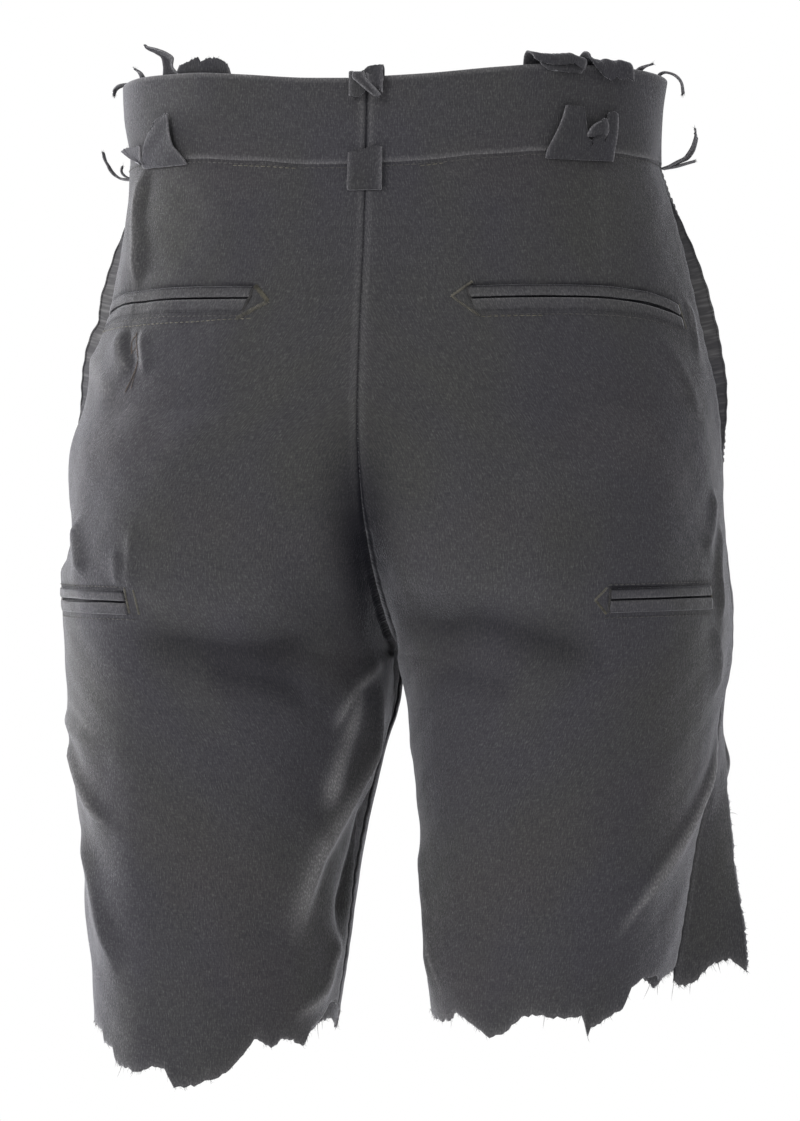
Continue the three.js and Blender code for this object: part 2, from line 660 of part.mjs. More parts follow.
addPiece(
  "fly_shield",
  clothWall({
    columns: SHIELD.columns,
    rows: shieldRows.length,
    wall: WELT_WALL,
    mirrored: false,
    place: (column, row) => {
      const z = shieldRows[row];
      const down = row / (shieldRows.length - 1);
      const past = mix(SHIELD.past, SHIELD.pastAtFoot, ease(down, SHIELD.footFrom, 1));
      const fromCentre = mix(SHIELD.fromCentre, past, column / (SHIELD.columns - 1));
      const around = -panelWidth("right", "front", z) - fromCentre;
      const { point, normal } = bareFace("right", around, z);
      point.addScaledVector(normal, -(CLOTH_WALL + LAID_GAP + SHIELD.inset));
      return { point, normal };
    },
  }),
  "lining",
);

const buttonShape = new THREE.Shape().absarc(0, 0, BUTTON.radius - BUTTON.bevel, 0, 2 * Math.PI, false);
for (const [x, y] of [[1, 1], [-1, 1], [-1, -1], [1, -1]]) {
  const hole = new THREE.Path();
  hole.absarc(x * BUTTON.holeOffset, y * BUTTON.holeOffset, BUTTON.hole + BUTTON.bevel, 0, 2 * Math.PI, true);
  buttonShape.holes.push(hole);
}
const buttonGeometry = new THREE.ExtrudeGeometry(buttonShape, {
  depth: BUTTON.thickness - BUTTON.bevel,
  bevelThickness: BUTTON.bevel / 2,
  bevelSize: BUTTON.bevel,
  bevelSegments: 1,
  curveSegments: 6,
});
const button = addPiece("waist_button", buttonGeometry, "button");
const buttonZ = waistAt.left(1);
const buttonSeat = bandFace("left", -panelWidth("left", "front", 0) + BUTTON.fromEdge, buttonZ);
button.quaternion.setFromUnitVectors(new THREE.Vector3(0, 0, 1), buttonSeat.normal);
button.position.copy(buttonSeat.point).addScaledVector(buttonSeat.normal, LAID_GAP + BUTTON.bevel / 2);

// ---- Welted pockets ---------------------------------------------------------------------------

const WELT_COLUMNS = 11;
const WELT_RISE = [[0, 0], [0.5, 0.5], [1, 0.4]]; // extra lift from a welt's sewn edge to its slot edge
const weltRise = smooth(WELT_RISE, 1);

for (const [pocket, sizes] of Object.entries(POCKETS)) {
  for (const side of ["left", "right"]) {
    const slot = smooth(sizes[side], 1);
    const ends = [sizes[side][0][0], sizes[side][sizes[side].length - 1][0]];
    for (const [level, direction] of [["upper", 1], ["lower", -1]]) {
      addPiece(
        [pocket, "welt", level, side].join("_"),
        clothWall({
          columns: WELT_COLUMNS,
          rows: WELT_RISE.length,
          wall: WELT_WALL,
          mirrored: (side === "right") !== (direction < 0),
          place: (column, row) => {
            const around = mix(ends[0], ends[1], column / (WELT_COLUMNS - 1));
            const toSlot = row / (WELT_RISE.length - 1);
            const z = slot(around) + direction * mix(sizes[level], SLOT_GAP, toSlot);
            const { point, normal } = panelFace(side, around, z, false);
            point.addScaledVector(normal, LAID_GAP + WELT_WALL + weltRise(toSlot));
            return { point, normal };
          },
        }),
        "welt",
      );
    }
  }
}

// ---- Side-pocket facings ----------------------------------------------------------------------

// A facing runs from the back panel's edge in under the gaping front.
const FACING = { columns: 5, top: -56, bottom: -174, edge: 0.9, depth: 26 };
const facingRows = [FACING.top, ...UPPER_ROWS.filter((z) => z > FACING.bottom), FACING.bottom];

for (const side of ["left", "right"]) {
  addPiece(
    "pocket_facing_" + side,
    clothWall({
      columns: FACING.columns,
      rows: facingRows.length,
      wall: WELT_WALL,
      mirrored: side === "left",
      place: (column, row) => {
        const z = facingRows[row];
        const around = -mix(FACING.edge, FACING.depth, column / (FACING.columns - 1));
        const { point, normal } = panelFace(side, around, z, false);
        const gape = pocketGape(around, z);
        point.addScaledVector(normal, Math.min(-CLOTH_WALL - LAID_GAP, -gape));
        return { point, normal };
      },
    }),
    "lining",
  );
}

// ---- Belt-loop remains ------------------------------------------------------------------------

const LOOP_SPACING = 6; // mm between a strip's columns, at most

// A strip's face: each row of its path carried across the width, then torn at an end. Its normals are
// worked out from the neighbouring points.
for (const [name, loop] of Object.entries(LOOPS)) {
  const { path } = loop;
  const widest = Math.max(...path.map((row) => named(LOOP_COLUMNS, row).width));
  const columns = 1 + Math.max(3, Math.ceil(widest / LOOP_SPACING));
  const last = path.length - 1;
  const torn = (table, across) => (table ? straight(table, 1)(across) : 0);
  const at = (column, row) => {
    const across = (2 * column) / (columns - 1) - 1;
    const { middle, z, lift, width } = named(LOOP_COLUMNS, path[row]);
    const tornFirst = row === 0 ? torn(loop.tearFirst, across) : 0;
    const tornLast = row === last ? torn(loop.tear, across) : 0;
    const up = z + tornFirst + tornLast;
    const base = loop.from === "centre" ? panelWidth(loop.side, "back", up) : 0;
    const { point, normal } = bareFace(loop.side, base + middle + (across * width) / 2, up);
    return point.addScaledVector(normal, lift);
  };
  const turn = OUTWARD[loop.side];
  addPiece(
    name,
    clothWall({
      columns,
      rows: path.length,
      wall: LOOP_WALL,
      mirrored: loop.side === "right",
      place: (column, row) => {
        const over = at(Math.min(column + 1, columns - 1), row).sub(at(Math.max(column - 1, 0), row));
        const down = at(column, Math.min(row + 1, last)).sub(at(column, Math.max(row - 1, 0)));
        return { point: at(column, row), normal: down.cross(over).normalize().multiplyScalar(turn) };
      },
    }),
    "loop",
  );
}

export default shorts;
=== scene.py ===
import bpy
import numpy as np
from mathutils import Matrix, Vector


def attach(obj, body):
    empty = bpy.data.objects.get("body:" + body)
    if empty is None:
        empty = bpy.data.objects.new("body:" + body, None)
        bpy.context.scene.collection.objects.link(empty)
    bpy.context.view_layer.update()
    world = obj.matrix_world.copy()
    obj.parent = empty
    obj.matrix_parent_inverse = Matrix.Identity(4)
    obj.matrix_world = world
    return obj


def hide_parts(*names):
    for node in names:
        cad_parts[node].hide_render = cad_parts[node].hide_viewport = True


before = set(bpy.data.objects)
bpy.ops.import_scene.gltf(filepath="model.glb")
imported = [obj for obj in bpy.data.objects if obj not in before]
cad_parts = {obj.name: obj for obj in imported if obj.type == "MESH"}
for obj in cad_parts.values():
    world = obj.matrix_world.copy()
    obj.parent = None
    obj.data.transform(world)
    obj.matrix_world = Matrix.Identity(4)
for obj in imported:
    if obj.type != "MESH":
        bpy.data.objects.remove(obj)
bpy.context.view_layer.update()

# ---- Leg panels -------------------------------------------------------------------------------
# Two backs and two fronts of weathered wool serge, joined at the side seams, the inseams and the
# centre seams, and torn off at the knee. The right front is also ripped upwards beside its side seam,
# and a flap of it hangs loose. Sizes are millimetres; the meshes are made in metres.

MM = 0.001
CLOTH_WALL = 1.0
CROTCH_Z = -300.0
SEAT_Z = -165.0
ROUNDNESS = 2.2
TURN_UNDER = 1.9
OUTWARD = {"left": 1, "right": -1}
OTHER = {"left": "right", "right": "left"}

# Level, outer half width left and right, inseam's distance from the centre line left and right,
# furthest back and front, depth of the side seam.
SECTION_COLUMNS = ("z", "left_outer", "right_outer", "left_inner", "right_inner", "back", "front", "mid")
SECTIONS = (
    (27, 153.5, 151, 0, 0, 103, -97, 0), (0, 152, 147.5, 0, 0, 104, -98, 0),
    (-25, 148.5, 147, 0, 0, 106, -99, 0), (-45, 149, 152, 0, 0, 109, -101, 0),
    (-75, 154, 161, 0, 0, 115, -105, 0), (-100, 159, 168, 0, 0, 121, -107, 0),
    (-130, 168, 174.5, 0, 0, 129, -108, -1),
    (-160, 175, 179.5, 0, 0, 134.5, -107, -3),
    (-190, 183.5, 181, 0, 0, 137, -105, -6),
    (-220, 184, 181.5, 0, 0, 136, -101, -10),
    (-250, 187.5, 183.5, 0, 0, 129, -97, -15),
    (-275, 189, 186, 0, 0, 117, -94, -18), (-300, 188.5, 185, 0, 0, 107, -92, -20),
    (-325, 186, 180.5, 1.5, 6, 101, -90, -15),
    (-350, 181, 176.5, 8.5, 8.5, 98, -89, -9),
    (-380, 179.5, 170.5, 15.5, 12, 95.5, -88, -4),
    (-410, 174, 166, 21, 17, 94, -87, -1), (-440, 174, 161.5, 25.5, 18.5, 92.5, -86, 0),
    (-470, 170.5, 156, 29.5, 18.5, 91, -85, 0),
    (-505, 168.5, 150.5, 35, 23, 90, -84, 0),
    (-545, 167, 146, 40, 28, 89, -83, 0),
)


def smooth_curve(rows, column=1):
    """A column as a function of the rows' first value: cubics between the rows, whose slope at a row is
    the harmonic mean of the secants beside it, or 0 where they turn, so no row is overshot."""
    table = np.array(sorted(rows, key=lambda row: row[0]), float)
    x, y = table[:, 0], table[:, column]
    secant = np.diff(y) / np.diff(x)
    before = np.concatenate([secant[:1], secant])
    after = np.concatenate([secant, secant[-1:]])
    turns = before * after <= 0
    slope = np.where(turns, 0, 2 * before * after / np.where(turns, 1, before + after))

    def value(at):
        """y0 (1 + c) - y1 c + span u (u - 1) (s0 (u - 1) + s1 u), with c = (2u - 3) u^2 and slopes s."""
        at = np.clip(at, x[0], x[-1])
        i = np.clip(np.searchsorted(x, at, side="right") - 1, 0, len(x) - 2)
        span = x[i + 1] - x[i]
        u = (at - x[i]) / span
        cubic = (2 * u - 3) * u * u
        bend = span * u * (u - 1) * (slope[i] * (u - 1) + slope[i + 1] * u)
        return y[i] * (1 + cubic) - y[i + 1] * cubic + bend

    return value


def ease(value, start, end):
    """From 0 at start to 1 at end, level at both: 3t^2 - 2t^3."""
    t = np.clip((value - start) / (end - start), 0, 1)
    return t * t * (3 - 2 * t)


def bell(distance, width):
    """exp(-(distance / width)^2)."""
    return np.exp(-((distance / width) ** 2))


def columns_of(names, rows):
    """Each column of a table after its first, by name, as a smooth function of the first."""
    return {name: smooth_curve(rows, i) for i, name in enumerate(names) if i}


section_at = columns_of(SECTION_COLUMNS, SECTIONS)
LEVEL_FOOT, LEVEL_TOP = -590.0, 60.0
levels = np.arange(LEVEL_FOOT, LEVEL_TOP + 1)
ARC_STEPS = 120
SHARES = 520
SEAM_SHIFT, SEAM_SHIFT_Z, SEAM_SHIFT_SPREAD = 13.0, -112.0, 52.0


def form_net(side):
    """One side's form. Each level is a superellipse |x/a|^2.2 + |y/b|^2.2 = 1, followed from the centre
    back round to the centre front, or to the inseam below the crotch, and resampled at even lengths."""
    outer = section_at[side + "_outer"](levels)
    inner = np.where(levels < CROTCH_Z, section_at[side + "_inner"](levels), 0)
    mid, back, front = (section_at[name](levels) for name in ("mid", "back", "front"))
    fall = np.clip((SEAT_Z - levels) / (SEAT_Z - CROTCH_Z), 0, 1)
    reach = (1 - fall**TURN_UNDER) ** (1 / TURN_UNDER)
    end_share = (1 - reach**ROUNDNESS) ** (1 / ROUNDNESS)
    half = (outer - inner) / (1 + end_share)
    turn = np.linspace(-1, 1, 2 * ARC_STEPS + 1)
    angle = np.arccos(-(end_share ** (ROUNDNESS / 2)))[:, None] * np.abs(turn)
    across = np.cos(angle)
    depth = np.where(turn < 0, (back - mid)[:, None], (front - mid)[:, None])
    x = (outer - half)[:, None] + half[:, None] * np.sign(across) * np.abs(across) ** (2 / ROUNDNESS)
    y = mid[:, None] + depth * np.abs(np.sin(angle)) ** (2 / ROUNDNESS)
    steps = np.hypot(np.diff(x, axis=1), np.diff(y, axis=1))
    along = np.concatenate([np.zeros((len(levels), 1)), np.cumsum(steps, axis=1)], axis=1)
    length = along[:, -1]
    seam = along[:, ARC_STEPS] - SEAM_SHIFT * bell(levels - SEAM_SHIFT_Z, SEAM_SHIFT_SPREAD)
    share = np.linspace(0, 1, SHARES)
    even_x, even_y = (
        np.array([np.interp(share * whole, run, row) for whole, run, row in zip(length, along, rows)])
        for rows in (x, y)
    )
    return {"x": even_x, "y": even_y, "length": length, "seam": seam}


nets = {side: form_net(side) for side in OUTWARD}


def panel_width(side, half, z):
    """The distance from the side seam to the centre seam or the inseam at a height."""
    seam = np.interp(z, levels, nets[side]["seam"])
    return seam if half == "back" else np.interp(z, levels, nets[side]["length"]) - seam


def on_own_side(side, around, z):
    """Points of one side's net, read linearly between its levels and its shares of the length."""
    net = nets[side]
    level = np.clip(z - LEVEL_FOOT, 0, len(levels) - 1.001)
    row = level.astype(int)
    f = level - row
    share = (np.interp(z, levels, net["seam"]) - around) / np.interp(z, levels, net["length"])
    share = np.clip(share, 0, 1) * (SHARES - 1.001)
    column = share.astype(int)
    g = share - column
    flat = [
        (net[k][row, column] * (1 - g) + net[k][row, column + 1] * g) * (1 - f)
        + (net[k][row + 1, column] * (1 - g) + net[k][row + 1, column + 1] * g) * f
        for k in ("x", "y")
    ]
    return np.stack([flat[0] * OUTWARD[side], flat[1], z], -1)


def bare_points(side, around, z):
    """Places on the smooth form: around is the distance from the side seam, above 0 towards the back.
    Past a centre line a place goes on over the other side, and past an inseam round the same leg."""
    around, z = np.broadcast_arrays(np.asarray(around, float), np.asarray(z, float))
    other = OTHER[side]
    whole = np.interp(z, levels, nets[side]["length"])
    leg = z < CROTCH_Z
    points = on_own_side(side, around, z)
    for half, sign in (("front", -1), ("back", 1)):
        past = sign * around - panel_width(side, half, z)
        round_leg = on_own_side(side, np.where(leg, around - sign * whole, 0), z)
        over = on_own_side(other, sign * (panel_width(other, half, z) - past), z)
        points = np.where((past > 0)[..., None], np.where(leg[..., None], round_leg, over), points)
    return points


def unit(vectors):
    """Each vector at length 1."""
    return vectors / np.maximum(np.linalg.norm(vectors, axis=-1, keepdims=True), 1e-9)


def bare_face(side, around, z):
    """Points of the smooth form and their normals, from the slopes 1 mm to each side."""
    over = bare_points(side, around + 1, z) - bare_points(side, around - 1, z)
    down = bare_points(side, around, z - 1) - bare_points(side, around, z + 1)
    return bare_points(side, around, z), unit(np.cross(down, over)) * OUTWARD[side]


# Folds and creases: height above the smooth form, width of the flank on the centre's side and on the
# side seam's side, and the path of the crest as around, z.
CREASES = {
    "left": (
        ("inner thigh, long", 6.5, 6, 14, ((300, -318), (284, -348), (268, -363), (248, -379), (230, -394),
                                           (213, -409), (203, -430), (193, -458))),
        ("inner thigh, middle", 3.2, 6, 10, ((276, -314), (258, -334), (243, -353), (233, -368),
                                             (222, -386))),
        ("inner thigh, upper", 2.4, 3, 5, ((311, -303), (286, -311), (264, -320), (250, -330), (236, -343))),
        ("hem, inner side", 4.5, 8, 8, ((250, -455), (231, -467), (222, -482), (207, -490), (192, -500))),
        ("inseam hollow", -6.0, 10, 12, ((300, -372), (272, -400), (252, -432), (240, -462))),
        ("under the seat", -7.5, 10, 13, ((140, -287), (178, -293), (214, -297), (262, -286))),
        ("seat's lower edge", 3.4, 10, 15, ((150, -262), (200, -268), (250, -258))),
        ("second seat hollow", -4.2, 8, 10, ((178, -306), (212, -312), (240, -318))),
        ("above the thigh pocket", -11.5, 9, 9, ((-46, -224), (-4, -231), (40, -235), (76, -236))),
        ("over the thigh pocket", 2.6, 7, 9, ((-34, -248), (0, -250), (36, -252), (70, -253))),
        ("hip pocket to side", -3.2, 7, 9, ((-30, -112), (2, -114), (34, -114))),
        ("thigh pocket pull, long", 2.2, 3, 4, ((150, -228), (153, -246), (152, -264))),
        ("thigh pocket pull, short", 1.9, 3, 4, ((140, -240), (143, -252), (143, -262))),
        ("hip to thigh pocket", 4.6, 6, 12, ((88, -224), (101, -238), (112, -256))),
        ("outer thigh", 4.4, 7, 14, ((-4, -331), (50, -339), (99, -349))),
        ("outer thigh, crisp", 5.0, 4, 11, ((28, -345), (60, -367), (92, -394))),
        ("outer knee", 5.0, 6, 13, ((36, -394), (62, -420), (77, -452), (82, -476))),
        ("mended place, outer flank", 2.6, 3.5, 6, ((62, -120), (74, -132), (95, -147))),
        ("mended place, pinch", -2.8, 3, 3, ((72, -119), (80, -130), (97, -144))),
        ("mended place, inner flank", 2.0, 4, 2.6, ((87, -121), (98, -135), (109, -147))),
        ("below the hip pocket", 2.6, 5, 7, ((15, -120), (18, -131), (44, -143), (68, -150), (92, -162))),
        ("dart", 5.5, 3.0, 24, ((66, -27), (56, -52), (64, -75), (66, -90), (69, -101))),
        ("front crotch, long", 5.0, 12, 16, ((-215, -300), (-150, -345), (-100, -400))),
        ("front crotch, short", 2.4, 6, 9, ((-230, -300), (-190, -318), (-150, -326))),
        ("front groin", -5.0, 13, 14, ((-190, -262), (-120, -292), (-60, -300))),
        ("front lap", 2.2, 8, 12, ((-196, -226), (-150, -246), (-96, -250))),
        ("front lap, upper", 1.6, 8, 10, ((-180, -196), (-130, -208), (-84, -206))),
        ("front knee", 5.0, 12, 17, ((-190, -380), (-150, -430), (-140, -480))),
        ("front shin side", 2.8, 7, 12, ((-60, -390), (-72, -430), (-74, -476))),
    ),
    "right": (
        ("under the seat", -7.5, 10, 13, ((268, -276), (238, -284), (213, -282), (168, -293), (132, -300))),
        ("seat's lower edge", 3.4, 10, 15, ((262, -256), (214, -262), (160, -270))),
        ("second seat hollow", -3.6, 8, 10, ((246, -306), (210, -310), (176, -320))),
        ("side, upper", 3.4, 4, 8, ((34, -206), (42, -225), (62, -243))),
        ("side, lower", 3.8, 4, 9, ((24, -224), (38, -246), (44, -268), (40, -284))),
        ("below the thigh pocket", 2.6, 8, 10, ((50, -282), (40, -304), (30, -322))),
        ("outer thigh", 5.5, 4, 12, ((-4, -335), (14, -372), (42, -397), (66, -422), (86, -450))),
        ("hip pocket's outer end", 2.4, 3, 5, ((20, -104), (21, -116), (26, -136))),
        ("below the hip pocket", 1.4, 6, 9, ((60, -124), (48, -146), (44, -172))),
        ("seat, slanting", 2.2, 12, 16, ((90, -170), (140, -200), (200, -214))),
        ("inner edge", 5.0, 9, 14, ((250, -392), (226, -428), (206, -468), (200, -488))),
        ("inseam hollow", -4.5, 10, 12, ((290, -352), (268, -392), (254, -430))),
        ("dart", 1.8, 3, 20, ((72, -28), (78, -56), (84, -92), (86, -102))),
        ("front crotch, long", 5.0, 12, 15, ((-210, -302), (-160, -340), (-120, -392))),
        ("front crotch, short", 2.2, 6, 9, ((-226, -300), (-186, -322), (-150, -332))),
        ("front groin", -5.0, 13, 14, ((-195, -266), (-130, -290), (-70, -296))),
        ("front lap", 2.0, 8, 12, ((-190, -230), (-146, -244), (-92, -246))),
        ("front lap, upper", 1.5, 8, 10, ((-176, -190), (-128, -200), (-80, -200))),
        ("front knee", 4.0, 12, 16, ((-200, -385), (-165, -440), (-160, -478))),
    ),
}
CREASE_END, CREASE_LEAST, CREASE_POWER, CREST_ROUND = 0.25, 0.1, 1.35, 0.9


def travelled(line):
    """How far along a line of points each of them lies."""
    return np.concatenate([[0], np.cumsum(np.hypot.reduce(np.diff(line, axis=0), axis=1))])


def near_path(around, z, path):
    """The distance to a smooth curve through a path's points, the share of its length at which it is
    nearest, and whether the place lies on the centre's side of it."""
    knots = np.arange(len(path))
    fine = np.linspace(0, len(path) - 1, 5 * len(path))
    line = np.stack([smooth_curve([(k, p[i]) for k, p in zip(knots, path)])(fine) for i in (0, 1)], -1)
    runs = np.diff(line, axis=0)
    lengths = np.hypot(runs[:, 0], runs[:, 1])
    so_far = travelled(line)
    miss = np.full(np.shape(around), np.inf)
    along = np.zeros(np.shape(around))
    inward = np.zeros(np.shape(around), bool)
    for start, run, length, before in zip(line, runs, lengths, so_far):
        dx, dz = around - start[0], z - start[1]
        share = np.clip((dx * run[0] + dz * run[1]) / length**2, 0, 1)
        distance = np.hypot(dx - share * run[0], dz - share * run[1])
        nearer = distance < miss
        miss = np.where(nearer, distance, miss)
        along = np.where(nearer, (before + share * length) / so_far[-1], along)
        inward = np.where(nearer, run[0] * dz - run[1] * dx > 0, inward)
    return miss, along, inward


def fade_ends(along):
    """1 along a path, and 0 at both its ends."""
    return ease(along, 0, CREASE_END) * ease(1 - along, 0, CREASE_END)


def crease_height(around, z, height, centre_flank, side_flank, path):
    """One fold: exp(-(d/w)^1.35) of the distance d to its crest, with a width w for each flank and the
    crest rounded to CREST_ROUND, that dies away over the ends of the path."""
    miss, along, inward = near_path(around, z, path)
    flank = np.where(inward, centre_flank, side_flank)
    across = np.exp(-((np.hypot(miss, CREST_ROUND) / flank) ** CREASE_POWER))
    return height * (CREASE_LEAST + (1 - CREASE_LEAST) * fade_ends(along)) * across


# Pale crest lines, partly wear and partly painted highlight: how pale, half width at the start and at the
# end, and the path as around, z.
WORN_AND_HIGHLIT_CRESTS = {
    "left": (
        (1.0, 2.2, 8.0, ((300, -316), (284, -348), (268, -363), (248, -379), (230, -394), (213, -409),
                         (203, -430), (193, -462))),
        (0.9, 2.0, 2.2, ((320, -301), (286, -311), (264, -320), (250, -330), (236, -343))),
        (0.8, 4.0, 6.0, ((276, -312), (258, -334), (243, -353), (233, -368), (222, -388))),
        (0.75, 2.2, 2.6, ((252, -452), (231, -467), (222, -482), (207, -490), (190, -501))),
        (0.25, 2.2, 2.2, ((20, -319), (60, -327), (97, -345))),
        (0.35, 2.2, 2.2, ((37, -353), (64, -371), (92, -396))),
        (0.3, 2.4, 2.4, ((33, -400), (61, -429), (72, -461))),
        (0.75, 1.0, 1.0, ((14, -118), (16, -124), (18, -132))),
        (0.5, 1.2, 1.2, ((64, -120), (77, -134), (94, -146))),
        (0.55, 0.9, 0.9, ((86, -120), (97, -135), (107, -146))),
        (0.35, 4.0, 4.0, ((19, -133), (44, -141), (67, -149), (91, -160))),
        (0.3, 3.0, 3.0, ((64, -28), (54, -52), (62, -75), (64, -90), (67, -102))),
        (0.4, 1.4, 1.4, ((42, -206), (44, -232), (46, -250))),
    ),
    "right": (
        (1.0, 2.0, 2.4, ((-6, -328), (14, -372), (42, -397), (66, -422), (88, -454))),
        (0.3, 1.4, 1.4, ((249, -405), (228, -424), (208, -444))),
        (0.4, 1.4, 1.4, ((212, -449), (199, -468), (187, -487))),
        (0.5, 1.0, 1.0, ((6, -60), (10, -78), (15, -94))),
        (0.4, 1.0, 1.0, ((18, -104), (22, -112), (24, -124))),
        (0.3, 1.6, 1.6, ((2, -128), (14, -134), (30, -143))),
        (0.45, 1.2, 1.2, ((4, -150), (4, -172), (8, -190))),
    ),
}


def crest_wear(side, around, z):
    """How pale the fold crests are, from wear and painted highlight: a bell across each line, fading
    over its ends.
    """
    wear = np.zeros(np.broadcast(around, z).shape)
    for paleness, start, end, path in WORN_AND_HIGHLIT_CRESTS[side]:
        miss, along, _inward = near_path(around, z, path)
        half_width = start + (end - start) * along
        wear = np.maximum(wear, paleness * fade_ends(along) * bell(miss, half_width))
    return wear


# The side pockets' mouths, and the fly's lap, in mm from the waist and from the centre front.
SIDE_POCKET = {"top": -44, "bottom": -190, "fade": 24, "gape": 9.0}
FLY = {"bottom": -222, "fade": 20, "overlap": 5, "raise": 2.3, "ramp_from": 32, "ramp_to": 9}

# Welted pockets: the widths of the upper and the lower welt, and each side's slot line as around, z.
POCKETS = {
    "hip": {
        "upper": 6.4, "lower": 7.0,
        "left": ((16, -115.2), (26, -111.6), (42, -108.4), (64, -106.4), (110, -105.5), (152, -106.5)),
        "right": ((33, -114), (46, -110.8), (64, -108), (90, -106.3), (115, -106), (164, -107.5)),
    },
    "thigh": {
        "upper": 6.0, "lower": 7.0,
        "left": ((44, -268), (95, -268.5), (146, -269.5)),
        "right": ((56, -266.5), (100, -267), (142, -268)),
    },
}
POCKET_END = -2, 1  # where a pocket's dip starts and is full, from the end of its slot line

# Slow ripples of the whole cloth: height, length, slant and start.
RIPPLES = (
    (0.17, 41, 0.4, 0.2), (0.16, 63, -0.8, 1.9), (0.09, 29, 1.3, 4.0), (0.2, 88, 0.1, 2.7),
    (0.04, 17, -0.5, 5.1),
)


def pocket_gape(around, z):
    """How far the front's edge stands off at the side pocket's mouth: half a sine up the mouth, and a
    square law that fades forwards."""
    share = np.clip((z - SIDE_POCKET["bottom"]) / (SIDE_POCKET["top"] - SIDE_POCKET["bottom"]), 0, 1)
    inward = np.clip(1 + around / SIDE_POCKET["fade"], 0, 1) ** 2
    return np.where(around > 0, 0, SIDE_POCKET["gape"] * np.sin(np.pi * share) * inward)


def at_pockets(side, around, z):
    """For each welted pocket of a side: the height above its slot line, 1 between its ends and 0 beyond
    them, and the heights of its two welts."""
    before, after = POCKET_END
    for pocket in POCKETS.values():
        line = pocket[side]
        first, last = line[0][0], line[-1][0]
        within = ease(around, first + before, first + after) * ease(-around, -last + before, -last + after)
        yield z - smooth_curve(line)(around), within, pocket["upper"], pocket["lower"]


CLEFT = {"depth": 4.5, "spread": 19.0, "from": -140, "full": -262, "foot": -350}
CROTCH_SHADE = {"dark": 0.75, "z": -292, "height": 24, "spread": 42}


def cleft_share(side, around, z):
    """How far a place of the back lies in the hollow along the centre seam and into the crotch: a bell
    across the seam that grows downwards and ends below the crotch."""
    to_centre = panel_width(side, "back", z) - around
    down = ease(-z, -CLEFT["from"], -CLEFT["full"]) * ease(z, CLEFT["foot"], CROTCH_Z)
    return np.where(around > 0, down * bell(to_centre, CLEFT["spread"]), 0)


def crotch_shade(side, half, around, z):
    """How dark the painted shade by the crotch is: a bell down from it and along the centre seam."""
    to_centre = panel_width(side, half, z) - np.abs(around)
    up = z - CROTCH_SHADE["z"]
    return CROTCH_SHADE["dark"] * bell(up, CROTCH_SHADE["height"]) * bell(to_centre, CROTCH_SHADE["spread"])


def seam_distance(side, around, z):
    """The distance to the nearest seam of the panel that a place lies on."""
    width = np.where(around > 0, panel_width(side, "back", z), panel_width(side, "front", z))
    return np.minimum(np.abs(around), np.abs(width - np.abs(around)))


# The seams' groove, the swelling of pressed allowance beside it and its puckers. Then how far the cloth
# dips at a pocket's slot and just beyond its welts' sewn edges.
SEAM = {"groove": 0.55, "groove_width": 0.9, "swell": 0.28, "swell_width": 5, "allowance": 7, "pucker": 0.22,
        "pucker_length": 11}
DIPS = {"slot": 2.2, "slot_width": 1.3, "upper": 1.0, "upper_beyond": 0.5, "lower": 0.3, "lower_beyond": 0.4,
        "sewn_width": 1.2}


def relief(side, around, z, cut=True):
    """The cloth's height over the smooth form: folds, slow ripples, the pocket mouth, the fly's step, and
    the seams, which lie in a groove with a low swelling of pressed seam allowance beside it. Where cut,
    the cloth also dips at the pockets' slots and at their welts' sewn edges."""
    around, z = np.broadcast_arrays(np.asarray(around, float), np.asarray(z, float))
    height = np.zeros(around.shape)
    for _name, size, centre_flank, side_flank, path in CREASES[side]:
        height += crease_height(around, z, size, centre_flank, side_flank, path)
    for size, wave, slant, start in RIPPLES:
        height += size * np.sin((around + slant * z) * 2 * np.pi / wave + start + np.sin(z / 57 + start))
    near = seam_distance(side, around, z)
    height += SEAM["swell"] * bell(near - SEAM["allowance"], SEAM["swell_width"])
    height -= SEAM["groove"] * bell(near, SEAM["groove_width"])
    pucker = np.sin(z * 2 * np.pi / SEAM["pucker_length"] + np.sin(z / 23) * 2)
    height += SEAM["pucker"] * np.exp(-near / SEAM["allowance"]) * pucker
    height += pocket_gape(around, z) - CLEFT["depth"] * cleft_share(side, around, z)
    if cut:
        for above, within, upper, lower in at_pockets(side, around, z):
            height -= within * DIPS["slot"] * bell(above, DIPS["slot_width"])
            height -= within * DIPS["upper"] * bell(above - upper - DIPS["upper_beyond"], DIPS["sewn_width"])
            height -= within * DIPS["lower"] * bell(above + lower + DIPS["lower_beyond"], DIPS["sewn_width"])
    if side == "left":
        to_centre = panel_width(side, "front", z) + around
        lap = ease(-to_centre, -FLY["ramp_from"], -FLY["ramp_to"])
        lap = lap * ease(z, FLY["bottom"] - 2 * FLY["fade"], FLY["bottom"])
        height += np.where(around < 0, FLY["raise"] * lap, 0)
    return height


RIP_COLUMNS = ("z", "around", "flap_turn", "panel_turn")
RIP_TOP = -364.0
RIP = (
    (-310, 28, 0, 0), (-338, 28, 0.14, 0.14),
    (RIP_TOP, 28, 0.42, 0.42),
    (-390, 33, 0.6, 0.28), (-420, 39, 0.76, 0.12),
    (-480, 48, 1.15, 0.04), (-545, 52, 1.2, 0),
)
RIP_SPREAD = 90.0
rip_at = columns_of(RIP_COLUMNS, RIP)


